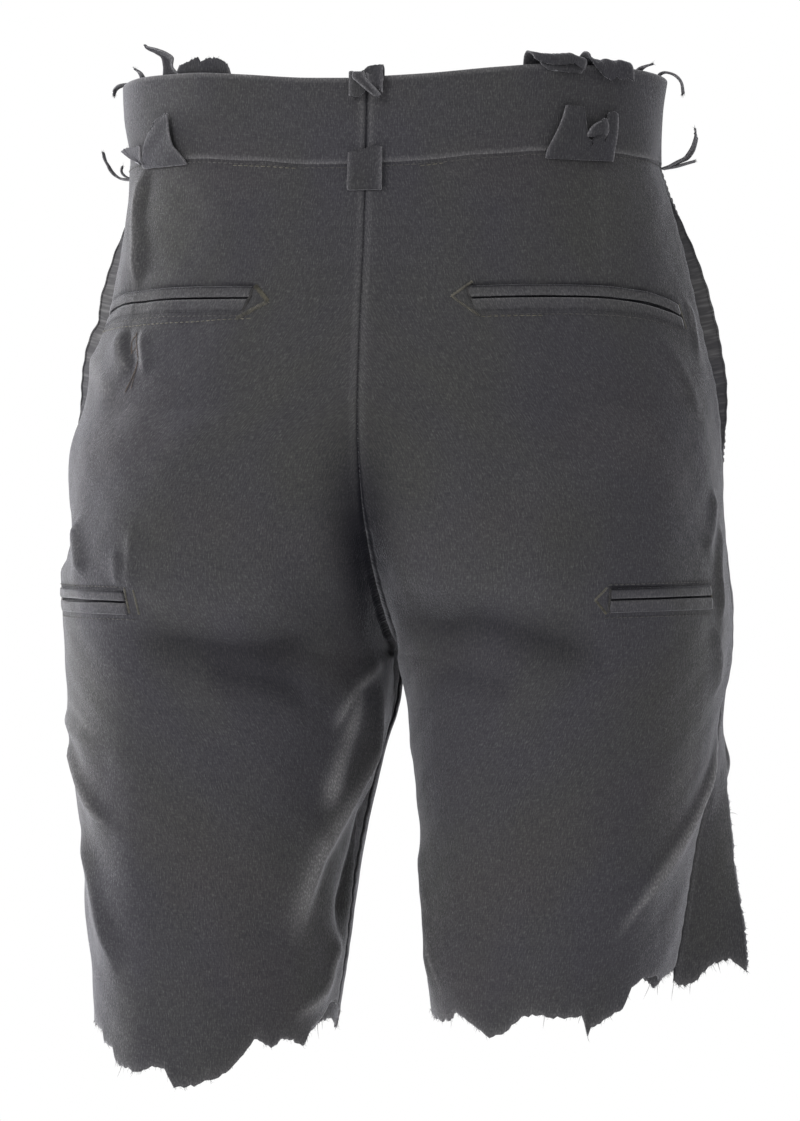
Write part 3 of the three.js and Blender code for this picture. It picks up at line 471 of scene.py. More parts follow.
def panel_face(side, around, z, lift=0.0, on_flap=False, cut=True):
    """Points of a leg panel's outer face and their normals, lifted off it where asked. The right front is
    turned about its folded side seam, by one angle on the flap and a fading one beyond the rip."""
    around, z = np.broadcast_arrays(np.asarray(around, float), np.asarray(z, float))
    points, normals = bare_face(side, around, z)
    points = points + normals * (relief(side, around, z, cut) + lift)[..., None]
    if side == "left":
        return points, normals
    beyond = -around - rip_at["around"](z)
    swing = rip_at["flap_turn"](z) if on_flap else rip_at["panel_turn"](z) * (1 - ease(beyond, 0, RIP_SPREAD))
    swing = np.where(around < 0, swing, 0)
    seam, seam_normals = bare_face(side, np.zeros(z.shape), z)
    fold = sum(crease_height(np.zeros(z.shape), z, *crease[1:]) for crease in CREASES[side])
    seam = seam + seam_normals * fold[..., None]
    cos, sin = np.cos(swing), np.sin(swing)

    def turned(v):
        """v turned by swing about the vertical: (x cos + y sin, y cos - x sin, z)."""
        return np.stack([v[..., 0] * cos + v[..., 1] * sin, v[..., 1] * cos - v[..., 0] * sin, v[..., 2]], -1)

    return seam + turned(points - seam), turned(normals)


BAND_HEIGHT = 47.0
WAIST_COLUMNS = ("turn", "left", "right")
WAIST_LINE = (
    (-1, -11.5, -11), (-0.85, -11, -9.6),
    (-0.65, -7.6, -5.8), (-0.5, -5.3, -3.6),
    (-0.3, -4.6, -3.3), (0, -6, -4.2),
    (0.4, -6.5, -5.5), (1, -10, -10),
)
waist_at = columns_of(WAIST_COLUMNS, WAIST_LINE)

# Torn hems: the share across from the side seam to the inseam, and the height.
HEMS = {
    ("left", "back"): (
        (0, -508), (0.065, -505), (0.13, -502), (0.19, -503), (0.24, -505), (0.25, -512), (0.295, -514),
        (0.31, -522), (0.35, -524), (0.385, -526), (0.43, -522), (0.455, -523), (0.478, -533.5), (0.53, -531),
        (0.58, -527), (0.605, -522), (0.655, -507), (0.7, -513), (0.728, -507), (0.775, -511), (0.808, -514),
        (0.825, -504.5), (0.87, -499.5), (0.92, -491), (0.96, -492), (1, -495),
    ),
    ("left", "front"): (
        (0, -508), (0.05, -516), (0.11, -511), (0.17, -520), (0.23, -526), (0.29, -518), (0.36, -513),
        (0.42, -521), (0.48, -515), (0.54, -509), (0.6, -517), (0.66, -522), (0.72, -512), (0.79, -507),
        (0.86, -511), (0.93, -500), (1, -495),
    ),
    ("right", "back"): (
        (0, -470), (0.07, -473), (0.137, -475.5), (0.17, -473), (0.225, -473.5), (0.256, -477),
        (0.28, -488.5), (0.33, -493.5), (0.366, -498), (0.374, -502), (0.386, -491.5), (0.45, -492.5),
        (0.48, -490), (0.517, -492), (0.55, -499), (0.59, -504), (0.636, -498), (0.664, -494), (0.7, -492),
        (0.715, -495.5), (0.76, -497.5), (0.81, -497.5), (0.87, -494), (0.94, -498), (1, -500),
    ),
    ("right", "front"): (
        (0, -479), (0.03, -483), (0.06, -479), (0.1, -470), (0.15, -468.5), (0.2, -476), (0.26, -489),
        (0.33, -483), (0.4, -494), (0.47, -503), (0.53, -496), (0.6, -500), (0.67, -490), (0.74, -498),
        (0.8, -492), (0.87, -497), (0.94, -495), (1, -500),
    ),
}
RIP_ACROSS = 0.2
RIP_JAG, HEM_JAG = 0.5, 0.55
COLUMN_STEP = 1.95
EDGE_STEPS = (0.45, 1.0, 1.7)
UPPER_ROWS, HEM_ROWS = 196, 48
HEM_FROM = -425.0
HEM_LEVEL = -480.0
UNDER_BAND = 1.5
torn = np.random.default_rng(7)


def net_faces(rows, columns, flipped=False, first=0):
    """The cells of a net of rows by columns of points, as four corner numbers each."""
    n = first + np.arange(rows * columns).reshape(rows, columns)
    cells = np.stack([n[:-1, :-1], n[1:, :-1], n[1:, 1:], n[:-1, 1:]], -1).reshape(-1, 4)
    return cells[:, ::-1] if flipped else cells


def place_object(name, data):
    """An object of its data, in the scene at the origin."""
    holder = bpy.data.objects.new(name, data)
    bpy.context.scene.collection.objects.link(holder)
    return holder


def make_piece(name, points, faces, places, finish, **masks):
    """A mesh object from points in millimetres, with the cloth's own around and height as its UV map and
    each mask as a point attribute."""
    mesh = bpy.data.meshes.new(name)
    mesh.from_pydata((points.reshape(-1, 3) * MM).tolist(), [], [list(face) for face in faces])
    corners = np.empty(len(mesh.loops), np.int32)
    mesh.loops.foreach_get("vertex_index", corners)
    cloth = mesh.uv_layers.new(name="cloth")
    cloth.data.foreach_set("uv", (places.reshape(-1, 2)[corners] * MM).ravel())
    for mask, values in masks.items():
        values = np.broadcast_to(values, points.shape[:-1]).astype(np.float32)
        mesh.attributes.new(mask, "FLOAT", "POINT").data.foreach_set("value", values.ravel())
    mesh.materials.append(finish)
    mesh.shade_smooth()
    return place_object(name, mesh)


def stand_for(piece, wall, node, flat, rests_on, area=None):
    """Gives a sheet its thickness, on its inner side, hangs it from the root and hides the solid it stands
    for; its flat cut, what it rests on and its area are not used. A piece that is closed already has no wall
    to add."""
    if wall:
        solid = piece.modifiers.new("wall", "SOLIDIFY")
        solid.thickness = wall * MM
        solid.offset = -1
    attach(piece, "root")
    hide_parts(node)


class Socket:
    """An output of a material's nodes, or the start of a material. Arithmetic on it adds Math nodes, and
    node() adds any other node: settings are set first, then inputs are given values or links."""

    def __init__(self, tree, link=None):
        self.tree, self.link = tree, link

    def node(self, kind, settings=None, inputs=None, output=0):
        """Another node of the same material, and the socket of one of its outputs."""
        made = self.tree.nodes.new("ShaderNode" + kind)
        for name, value in (settings or {}).items():
            setattr(made, name, value)
        for name, value in (inputs or {}).items():
            if isinstance(value, Socket):
                self.tree.links.new(value.link, made.inputs[name])
            else:
                made.inputs[name].default_value = value
        return Socket(self.tree, made.outputs[output]) if made.outputs else None

    def math(self, operation, first, second=0.0):
        """The result of a Math node."""
        return self.node("Math", {"operation": operation}, {0: first, 1: second})

    def __add__(self, other):
        return self.math("ADD", self, other)

    def __sub__(self, other):
        return self.math("SUBTRACT", self, other)

    def __rsub__(self, other):
        return self.math("SUBTRACT", other, self)

    def __mul__(self, other):
        return self.math("MULTIPLY", self, other)

    __radd__, __rmul__ = __add__, __mul__

    def clamped(self, low, high):
        """0 below low, 1 above high and straight between."""
        return self.node("MapRange", {"clamp": True}, {0: self, 1: low, 2: high})

    def blend(self, first, second):
        """The first colour where this is 0 and the second where it is 1."""
        return self.node("Mix", {"data_type": "RGBA"}, {0: self, 6: first, 7: second}, output=2)


def blank_material(name):
    """A material without nodes, and the start of its own."""
    material = bpy.data.materials.new(name)
    material.use_nodes = True
    material.node_tree.nodes.clear()
    return material, Socket(material.node_tree)


def serge(name, tone, blue=0.0):
    """Heathered serge. Warp and weft yarns are two noises drawn out along and across the cloth, the twill
    is a slanting one, hairs are short pale flecks, and slow blotches turn the grey olive or brown. Places
    of wear and of painted highlight are paler, and places of painted shade and soil nearly black."""
    material, start = blank_material(name)
    cloth = start.node("UVMap", {"uv_map": "cloth"})

    def yarns(across, along, detail=2.0, slant=0.0):
        """A noise drawn out by its two scales, and turned by slant."""
        turned = {0: cloth, "Rotation": (0, 0, slant), "Scale": (across, along, 1)}
        stretched = start.node("Mapping", {}, turned)
        flat = {"noise_dimensions": "2D"}
        return start.node("TexNoise", flat, {0: stretched, "Scale": 1.0, "Detail": detail})

    def shade(red, green, blueness):
        """tone (red, green, blueness (1 + blue)), opaque."""
        return tuple(tone * v for v in (red, green, blueness * (1 + blue))) + (1,)

    warp = yarns(1500, 190, detail=3.0).clamped(0.36, 0.66)
    weft = yarns(200, 1500).clamped(0.36, 0.66)
    twill = yarns(2100, 500, slant=0.7).clamped(0.36, 0.64)
    hairs = yarns(1350, 620, detail=3.0, slant=0.12).clamped(0.46, 0.74)
    blotch = yarns(13, 8, detail=3.0).clamped(0.36, 0.66)
    brown = yarns(9, 14, detail=3.0).clamped(0.5, 0.75)
    fade = yarns(38, 20, detail=4.0).clamped(0.3, 0.75)
    wear = start.node("Attribute", {"attribute_name": "wear"}, output=2)
    deep = start.node("Attribute", {"attribute_name": "deep"}, output=2)
    colour = blotch.blend(shade(0.0560, 0.0545, 0.0625), shade(0.0600, 0.0600, 0.0570))
    colour = (brown * 0.6).blend(colour, shade(0.0620, 0.0565, 0.0590))
    weave = warp * 0.5 + weft * 0.22 + twill * 0.28
    colour = ((1 - weave) * 0.72).blend(colour, shade(0.0250, 0.0243, 0.0290))
    colour = (hairs * weave * 0.5).blend(colour, shade(0.135, 0.133, 0.130))
    # Paler with wear and painted highlight, and nearly black with painted shade and soil.
    colour = (wear * (0.62 + fade * 0.4) * (0.6 + hairs)).blend(colour, shade(0.245, 0.240, 0.245))
    colour = deep.blend(colour, (0.006, 0.006, 0.009, 1))
    bump = start.node("Bump", {}, {"Strength": 0.6, "Distance": 0.00025, "Height": weave + hairs * 0.5})
    finish = start.node("BsdfPrincipled", {}, {
        "Base Color": colour, "Roughness": 1.0 - hairs * 0.2, "Normal": bump, "Specular IOR Level": 0.15,
        "Sheen Weight": 0.55, "Sheen Roughness": 0.27, "Sheen Tint": (0.94, 0.94, 1.0, 1),
    })
    start.node("OutputMaterial", {}, {"Surface": finish})
    return material


panel_serge = serge("serge", 1.0)


def panel_columns(width):
    """Shares across a panel of that width: even steps, closer beside the two seams."""
    edge = np.array(EDGE_STEPS) / width
    inner = np.linspace(edge[-1], 1 - edge[-1], int(width / COLUMN_STEP))[1:-1]
    return np.concatenate([[0], edge, inner, 1 - edge[::-1], [1]])


def panel_sheet(side, half):
    """A leg panel as a net from the waist seam down to its torn hem. The ripped front's columns keep to
    the rip's own distance up to it, and are parted there."""
    sign = 1 if half == "back" else -1
    across = panel_columns(float(panel_width(side, half, HEM_LEVEL)))
    ripped = (side, half) == ("right", "front")
    if ripped:
        across[np.argmin(np.abs(across - RIP_ACROSS))] = RIP_ACROSS
    hem_x, hem_z = np.array(HEMS[side, half]).T
    jag = torn.normal(0, HEM_JAG, len(across)) * ease(across, 0, 0.01) * ease(1 - across, 0, 0.01)
    hem = np.interp(across, hem_x, hem_z) + jag
    lap = FLY["overlap"] if (side, half) == ("left", "front") else 0

    def around_at(z):
        """width across, and in the ripped front the rip's distance at RIP_ACROSS, straight on each side."""
        width = panel_width(side, half, z) + lap * ease(z, FLY["bottom"], FLY["bottom"] + FLY["fade"])
        if not ripped:
            return width * across
        rip = rip_at["around"](z)
        rest = rip + (width - rip) * (across - RIP_ACROSS) / (1 - RIP_ACROSS)
        return np.where(across <= RIP_ACROSS, rip * across / RIP_ACROSS, rest)

    turn = -sign * across
    top = waist_at[side](turn) - BAND_HEIGHT / 2 + UNDER_BAND
    upper = np.linspace(0, 1, UPPER_ROWS)[:, None]
    lower = np.linspace(0, 1, HEM_ROWS + 1)[1:, None]
    z = np.concatenate([top + (HEM_FROM - top) * upper, HEM_FROM + (hem - HEM_FROM) * lower])
    return across, around_at(z) * sign, z, ripped


WAIST_SEAM_Z = -30.0


def cut_size(side, half):
    """The flat cut of a panel as it shows: its greatest width, its length, and its area."""
    widths = panel_width(side, half, np.arange(-500, WAIST_SEAM_Z, 5.0))
    hem = [z for _across, z in HEMS[side, half]]
    length, mean_length = WAIST_SEAM_Z - min(hem), WAIST_SEAM_Z - np.mean(hem)
    return (float(widths.max()) * MM, length * MM), float(widths.mean() * mean_length) * MM * MM


def parted(side, across, around, z, flipped):
    """The ripped front as two nets, the flap and the rest, joined down to the rip's top. It gives their
    points, faces and places, the height of the hem below each point, and the torn edges."""
    parting = int(np.argmax(across >= RIP_ACROSS))
    halves = np.s_[:, : parting + 1], np.s_[:, parting:]
    jag = torn.normal(0, RIP_JAG, (2, len(z))) * ease(-z[:, parting], -RIP_TOP, -RIP_TOP + 8)
    flap_around, rest_around = (around[part].copy() for part in halves)
    flap_around[:, -1] += jag[0]
    rest_around[:, 0] += jag[1]
    flap = panel_face(side, flap_around, z[halves[0]], on_flap=True)[0]
    rest = panel_face(side, rest_around, z[halves[1]])[0]
    joined, open_rows = z[:, parting] > RIP_TOP, z[:, parting] < RIP_TOP - 6
    rest[joined, 0] = flap[joined, -1]
    points = np.concatenate([flap.reshape(-1, 3), rest.reshape(-1, 3)])
    faces = np.concatenate([
        net_faces(*flap.shape[:2], flipped), net_faces(*rest.shape[:2], flipped, first=flap[..., 0].size),
    ])
    hem_line = np.concatenate([np.broadcast_to(z[-1:][part], z[part].shape).ravel() for part in halves])
    around = np.concatenate([flap_around.ravel(), rest_around.ravel()])
    z = np.concatenate([z[part].ravel() for part in halves])
    edges = {"flap": flap[-1], "flap side": flap[open_rows, -1], "rip side": rest[open_rows, 0],
             "rest": rest[-1]}
    return points, faces, around, z, hem_line, edges


# How pale the worn places are, on raised folds partly as painted highlight, and how dark the painted shade is
# in the pockets' slots and sewn ditches, the cleft and the fold troughs, with shade and soil in the seams'
# grooves; with their widths and reaches.
MOUTH_REACH = 12
WEAR_AND_HIGHLIGHT = {"hem": 0.34, "hem_reach": 2.5, "seam": 0.16, "seam_at": 2.5, "seam_width": 1.5, "mouth": 0.32,
        "mouth_reach": 2.2, "fold": 0.12, "fold_height": 9}
PAINTED_SHADE_AND_SOIL = {"seam": 0.55, "seam_width": 0.5, "slot_width": 1.6, "sewn": 0.6, "sewn_beyond": 0.6,
        "sewn_width": 1.0, "cleft": 0.85, "fold": 0.5, "fold_depth": 8, "fold_around": (70, 130)}
RIP_WELD = 0.00001
hem_edges = {}
for side in OUTWARD:
    for half in ("back", "front"):
        across, around, z, ripped = panel_sheet(side, half)
        flipped = (side == "right") != (half == "front")
        if ripped:
            points, faces, around, z, hem_line, edges = parted(side, across, around, z, flipped)
        else:
            points = panel_face(side, around, z)[0]
            faces = net_faces(*z.shape, flipped)
            hem_line = np.broadcast_to(z[-1], z.shape)
            edges = {(side, half): points[-1]}
        hem_edges.update(edges)
        near = seam_distance(side, around, z)
        mouth = pocket_gape(np.zeros(z.shape), z) / SIDE_POCKET["gape"] * (np.abs(around) < MOUTH_REACH)
        wear = WEAR_AND_HIGHLIGHT["hem"] * np.exp(-(z - hem_line) / WEAR_AND_HIGHLIGHT["hem_reach"])
        wear = wear + WEAR_AND_HIGHLIGHT["seam"] * bell(near - WEAR_AND_HIGHLIGHT["seam_at"], WEAR_AND_HIGHLIGHT["seam_width"])
        wear += WEAR_AND_HIGHLIGHT["mouth"] * mouth * np.exp(-np.abs(around) / WEAR_AND_HIGHLIGHT["mouth_reach"])
        # Raised folds and the pale crest lines are lighter, partly from wear and partly as painted highlight.
        height = relief(side, around, z, cut=False)
        fold_top_wear_and_highlight = np.clip(height / WEAR_AND_HIGHLIGHT["fold_height"], 0, 1)
        trough_shade = np.clip(-height / PAINTED_SHADE_AND_SOIL["fold_depth"], 0, 1) * ease(around, *PAINTED_SHADE_AND_SOIL["fold_around"])
        # Painted shade in the pockets' slots and the ditch above each upper welt, in the seat's cleft, in
        # fold troughs towards the centre back and by the crotch; the seams' grooves get a dark line of shade
        # and soil.
        slots = sum(
            within * (bell(above, PAINTED_SHADE_AND_SOIL["slot_width"])
                      + PAINTED_SHADE_AND_SOIL["sewn"] * bell(above - upper - PAINTED_SHADE_AND_SOIL["sewn_beyond"], PAINTED_SHADE_AND_SOIL["sewn_width"]))
            for above, within, upper, _lower in at_pockets(side, around, z)
        )
        deep = PAINTED_SHADE_AND_SOIL["seam"] * (1 - mouth) * bell(near, PAINTED_SHADE_AND_SOIL["seam_width"]) + slots
        deep = deep + PAINTED_SHADE_AND_SOIL["cleft"] * cleft_share(side, around, z) + PAINTED_SHADE_AND_SOIL["fold"] * trough_shade
        panel = make_piece(
            "_".join(["serge", half, side]), points, faces, np.stack([around, z], -1), panel_serge,
            wear=np.clip(wear + WEAR_AND_HIGHLIGHT["fold"] * fold_top_wear_and_highlight + crest_wear(side, around, z), 0, 1),
            deep=np.clip(deep + crotch_shade(side, half, around, z), 0, 1),
        )
        if ripped:
            weld = panel.modifiers.new("rip's top", "WELD")
            weld.merge_threshold = RIP_WELD
        size, area = cut_size(side, half)
        stand_for(panel, CLOTH_WALL, half + "_" + side, size, ["waistband_" + side], area)

# ---- Waistband --------------------------------------------------------------------------------
# Two halves of doubled serge with interlining, 47 mm high, folded over at the top, seamed at the
# centre back, and lapped left over right at the front, where the button closes them.

BAND_WALL = 2.6
BAND_PROUD = 0.8
BAND_LAP = {"left": 5.0, "right": 30.0, "raise": 3.5, "ramp_from": 60, "ramp_to": 34}
BAND_FACE_ROWS, BAND_ROUND_ROWS = 24, 6
BAND_STEP = 1.9
band_serge = serge("band serge", 1.04)


def band_profile():
    """The band's section as height from its middle line and lift off the form: up the face, half round
    over the top, down the inside and half round under the foot."""
    half, bend = BAND_HEIGHT / 2, BAND_WALL / 2
    face = np.linspace(-half + bend, half - bend, BAND_FACE_ROWS)
    over = np.linspace(0, np.pi, BAND_ROUND_ROWS + 2)[1:-1]
    crown, outer, middle = bend * np.sin(over), np.full(len(face), BAND_PROUD), BAND_PROUD - bend
    height = np.concatenate([face, half - bend + crown, face[::-1], -half + bend - crown])
    turned = bend * np.cos(over)
    lift = np.concatenate([outer, middle + turned, outer - BAND_WALL, middle - turned])
    return height, lift


def band_face(side, turn, height, lift):
    """Points of the band: turn runs from -1 at the centre back to 1 at the centre front and on over the
    lap, and height is measured from the band's middle line. Slow waves pass along it."""
    z = np.where(turn > 1, waist_at[OTHER[side]](2 - turn), waist_at[side](turn)) + height
    around = -turn * np.where(turn < 0, panel_width(side, "back", z), panel_width(side, "front", z))
    points, normals = bare_face(side, around, z)
    to_end = panel_width(side, "front", z) + around
    step = BAND_LAP["raise"] * ease(-to_end, -BAND_LAP["ramp_from"], -BAND_LAP["ramp_to"]) * (side == "left")
    wave = 0.35 * np.sin(around / 9.0 + 1.3) * np.sin(height / 15 + 0.4)
    wave = wave + 0.3 * np.sin(around / 21 + height / 13)
    dip = -0.7 * bell((turn + 1) * panel_width(side, "back", z), 1.1)
    return points + normals * (lift + step + wave + dip)[..., None], normals, around, z


for side in OUTWARD:
    back, front = (float(panel_width(side, half, 0.0)) for half in ("back", "front"))
    columns = int((front + back) / BAND_STEP)
    turn = np.concatenate([[-1, -0.998, -0.994], np.linspace(-0.988, 1 + BAND_LAP[side] / front, columns)])
    height, lift = band_profile()
    points, _normals, around, z = band_face(side, turn[None, :], height[:, None], lift[:, None])
    rows = len(height)
    faces = net_faces(rows + 1, len(turn), side == "right") % (rows * len(turn))
    first_column = np.arange(rows) * len(turn)
    ends = [first_column, (first_column + len(turn) - 1)[::-1]]
    ends = ends if side == "right" else [end[::-1] for end in ends]
    away = BAND_HEIGHT / 2 - np.abs(height)[:, None]
    outer = (lift > BAND_PROUD - BAND_WALL / 2)[:, None]
    from_centre = (turn + 1) * front
    # The band is paler from wear along its outer top and foot edges and beside the centre back seam, and
    # painted shade and soil make a dark line in that seam.
    band = make_piece(
        "serge_waistband_" + side, points, list(faces) + ends, np.stack([around, z], -1), band_serge,
        wear=np.clip(0.5 * bell(away, 1.6) * outer + 0.25 * bell(from_centre - 2.5, 1.6), 0, 1),
        deep=0.8 * bell(from_centre, 0.8),
    )
    flat = ((front + back + BAND_LAP[side]) * MM, BAND_HEIGHT * MM)
    stand_for(band, 0, "waistband_" + side, flat, ["serge_back_" + side, "serge_front_" + side])

# ---- Fly shield and pocket facings ------------------------------------------------------------
# Single layers of darker serge: the shield behind the fly, sewn to the right front, and a facing
# behind each side-pocket mouth, which shows where the front stands off.

FACING_WALL = 1.0
SHIELD = {"from_centre": -12, "past": 30, "past_at_foot": 16.5, "top": -36, "bottom": -213, "inset": 3.0,
          "flat": (0.0395, 0.177)}
FACING = {"edge": 0.9, "depth": 26, "top": -50, "bottom": -182, "inset": 2.3, "flat": (0.0251, 0.132)}
FACING_STEPS = 26, 80
lining_serge = serge("lining serge", 0.7)


def add_layer(name, node, slot, points, around, z, flat, rests_on, finish, flipped, wall, area=None, **masks):
    """A net of points as one layer of cloth that stands for a solid."""
    layer = make_piece(name, points, net_faces(*z.shape, flipped), np.stack([around, z], -1), finish, **masks)
    stand_for(layer, wall, node, flat, rests_on, area)


across, down = np.meshgrid(np.linspace(0, 1, FACING_STEPS[0]), np.linspace(0, 1, FACING_STEPS[1]))
z = SHIELD["top"] + (SHIELD["bottom"] - SHIELD["top"]) * down
past = SHIELD["past"] + (SHIELD["past_at_foot"] - SHIELD["past"]) * ease(down, 0.6, 1)
around = -panel_width("right", "front", z) - (SHIELD["from_centre"] + (past - SHIELD["from_centre"]) * across)
points, normals = bare_face("right", around, z)
add_layer(
    "fly_shield_cloth", "fly_shield", "lining", points - normals * SHIELD["inset"], around, z, SHIELD["flat"],
    ["serge_front_right"], lining_serge, False, FACING_WALL, wear=0.0, deep=0.0,
)
for side in OUTWARD:
    z = FACING["top"] + (FACING["bottom"] - FACING["top"]) * down
    around = -(FACING["edge"] + (FACING["depth"] - FACING["edge"]) * across)
    points, normals = panel_face(side, around, z)
    behind = np.minimum(-FACING["inset"], -pocket_gape(around, z) - 0.2)[..., None]
    # Painted shade darkens each facing, which lies behind the front, a quarter of the way to black.
    add_layer(
        "pocket_facing_cloth_" + side, "pocket_facing_" + side, "lining", points + normals * behind,
        around, z, FACING["flat"], ["serge_back_" + side], lining_serge, side == "left", FACING_WALL,
        wear=0.0, deep=0.25,
    )

# ---- Waist button -----------------------------------------------------------------------------
# A turned horn button with four holes, sewn through the waistband's right end with a cross of thread,
# in a worked buttonhole.

HOLE_OFFSET, BUTTON_FROM_EDGE, BUTTON_THICKNESS, THREAD_LIFT = 1.9, 20.0, 2.2, 0.75
HOLE_BEFORE, HOLE_LENGTH = 4, 17


def horn():
    """Dark streaked horn: a noise drawn out along the streaks, under a worn polish."""
    material, start = blank_material("horn")
    place = start.node("TexCoord", output=3)
    streaks = start.node("Mapping", {}, {0: place, "Rotation": (0, 0.5, 0), "Scale": (90, 90, 420)})
    streak = start.node("TexNoise", {}, {0: streaks, "Scale": 3.0, "Detail": 4.0}).clamped(0.35, 0.7)
    scratch = start.node("TexNoise", {}, {0: place, "Scale": 2600.0, "Detail": 3.0})
    colour = streak.blend((0.016, 0.012, 0.010, 1), (0.060, 0.042, 0.030, 1))
    bump = start.node("Bump", {}, {"Strength": 0.2, "Distance": 0.0001, "Height": scratch})
    finish = start.node("BsdfPrincipled", {}, {
        "Base Color": colour, "Roughness": 0.32 + scratch * 0.25, "Normal": bump, "Coat Weight": 0.25,
        "Coat Roughness": 0.3,
    })
    start.node("OutputMaterial", {}, {"Surface": finish})
    return material


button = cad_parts["waist_button"]
button.data.materials.clear()
button.data.materials.append(horn())

# ---- Pocket welts -----------------------------------------------------------------------------
# Folded strips of serge, two to a pocket, sewn along their outer edges and meeting at the slot, where
# they roll inwards. The outer end of the left hip pocket has come open.

WELT_WALL, WELT_ROLL, WELT_CUT = 0.7, 1.4, 10.5
WELT_PROFILE = (
    (1, -0.2), (0.95, 0.3), (0.86, 0.62), (0.6, 0.78), (0.3, 0.85), (0.12, 0.75), (0.03, 0.4), (0, -0.1),
)
WELT_STEP, WELT_ROWS = 1.1, 15
SLOT_HALF = 0.6
# Where a slot gapes: the place around, the spread and how much more.
SLOT_OPEN = {
    ("hip", "left"): (26, 16, 2.3), ("hip", "right"): (52, 16, 0.8), ("thigh", "left"): (92, 26, 0.8),
}
welt_serge = serge("welt serge", 0.98)

for pocket, sizes in POCKETS.items():
    for side in OUTWARD:
        first, last = sizes[side][0][0], sizes[side][-1][0]
        slot = smooth_curve(sizes[side])
        middle, spread, more = SLOT_OPEN.get((pocket, side), (0, 1, 0))
        for level, direction in (("upper", 1), ("lower", -1)):
            share, rise = np.array(WELT_PROFILE).T
            steps = np.linspace(0, len(share) - 1, WELT_ROWS)
            share, rise = (np.interp(steps, np.arange(len(share)), column) for column in (share, rise))
            along = np.linspace(first, last, int((last - first) / WELT_STEP))
            around, share = np.meshgrid(along, share)
            gap = SLOT_HALF + more * bell(around - middle, spread) * (0.3 if level == "upper" else 1)
            z = slot(around) + direction * (gap + (sizes[level] - gap) * share)
            wave = 0.12 * np.sin(around / 6.1 + direction) + 0.08 * np.sin(around / 2.7)
            lift = rise[:, None] + wave * share * (1 - share) * 4
            points, _normals = panel_face(side, around, z, lift, cut=False)
            name = "_".join([pocket, "welt", level, side])
            # Each welt is paler at its rolled lip from wear, and painted shade darkens the ditch at its sewn
            # edge, strongly on the upper welt.
            add_layer(
                name + "_cloth", name, "welt", points, around, z, ((last - first) * MM, WELT_CUT * MM),
                ["serge_back_" + side], welt_serge, (side == "right") != (direction < 0), WELT_WALL,
                (last - first) * (sizes[level] + WELT_ROLL) * MM * MM, wear=0.1 + 0.35 * np.exp(-share * 9),
                deep=(0.95 if level == "upper" else 0.2) * bell(1 - share, 0.19),
            )

# ---- Belt loops -------------------------------------------------------------------------------
# What is left of the belt loops: pressed strips, torn through half way, whose upper ends fold out from
# inside the waistband and whose lower ends are sewn in at the waist seam.

LOOP_WALL = 0.9
INSIDE = -(BAND_WALL - BAND_PROUD + 2.1)
LOOP_STEP = 0.7

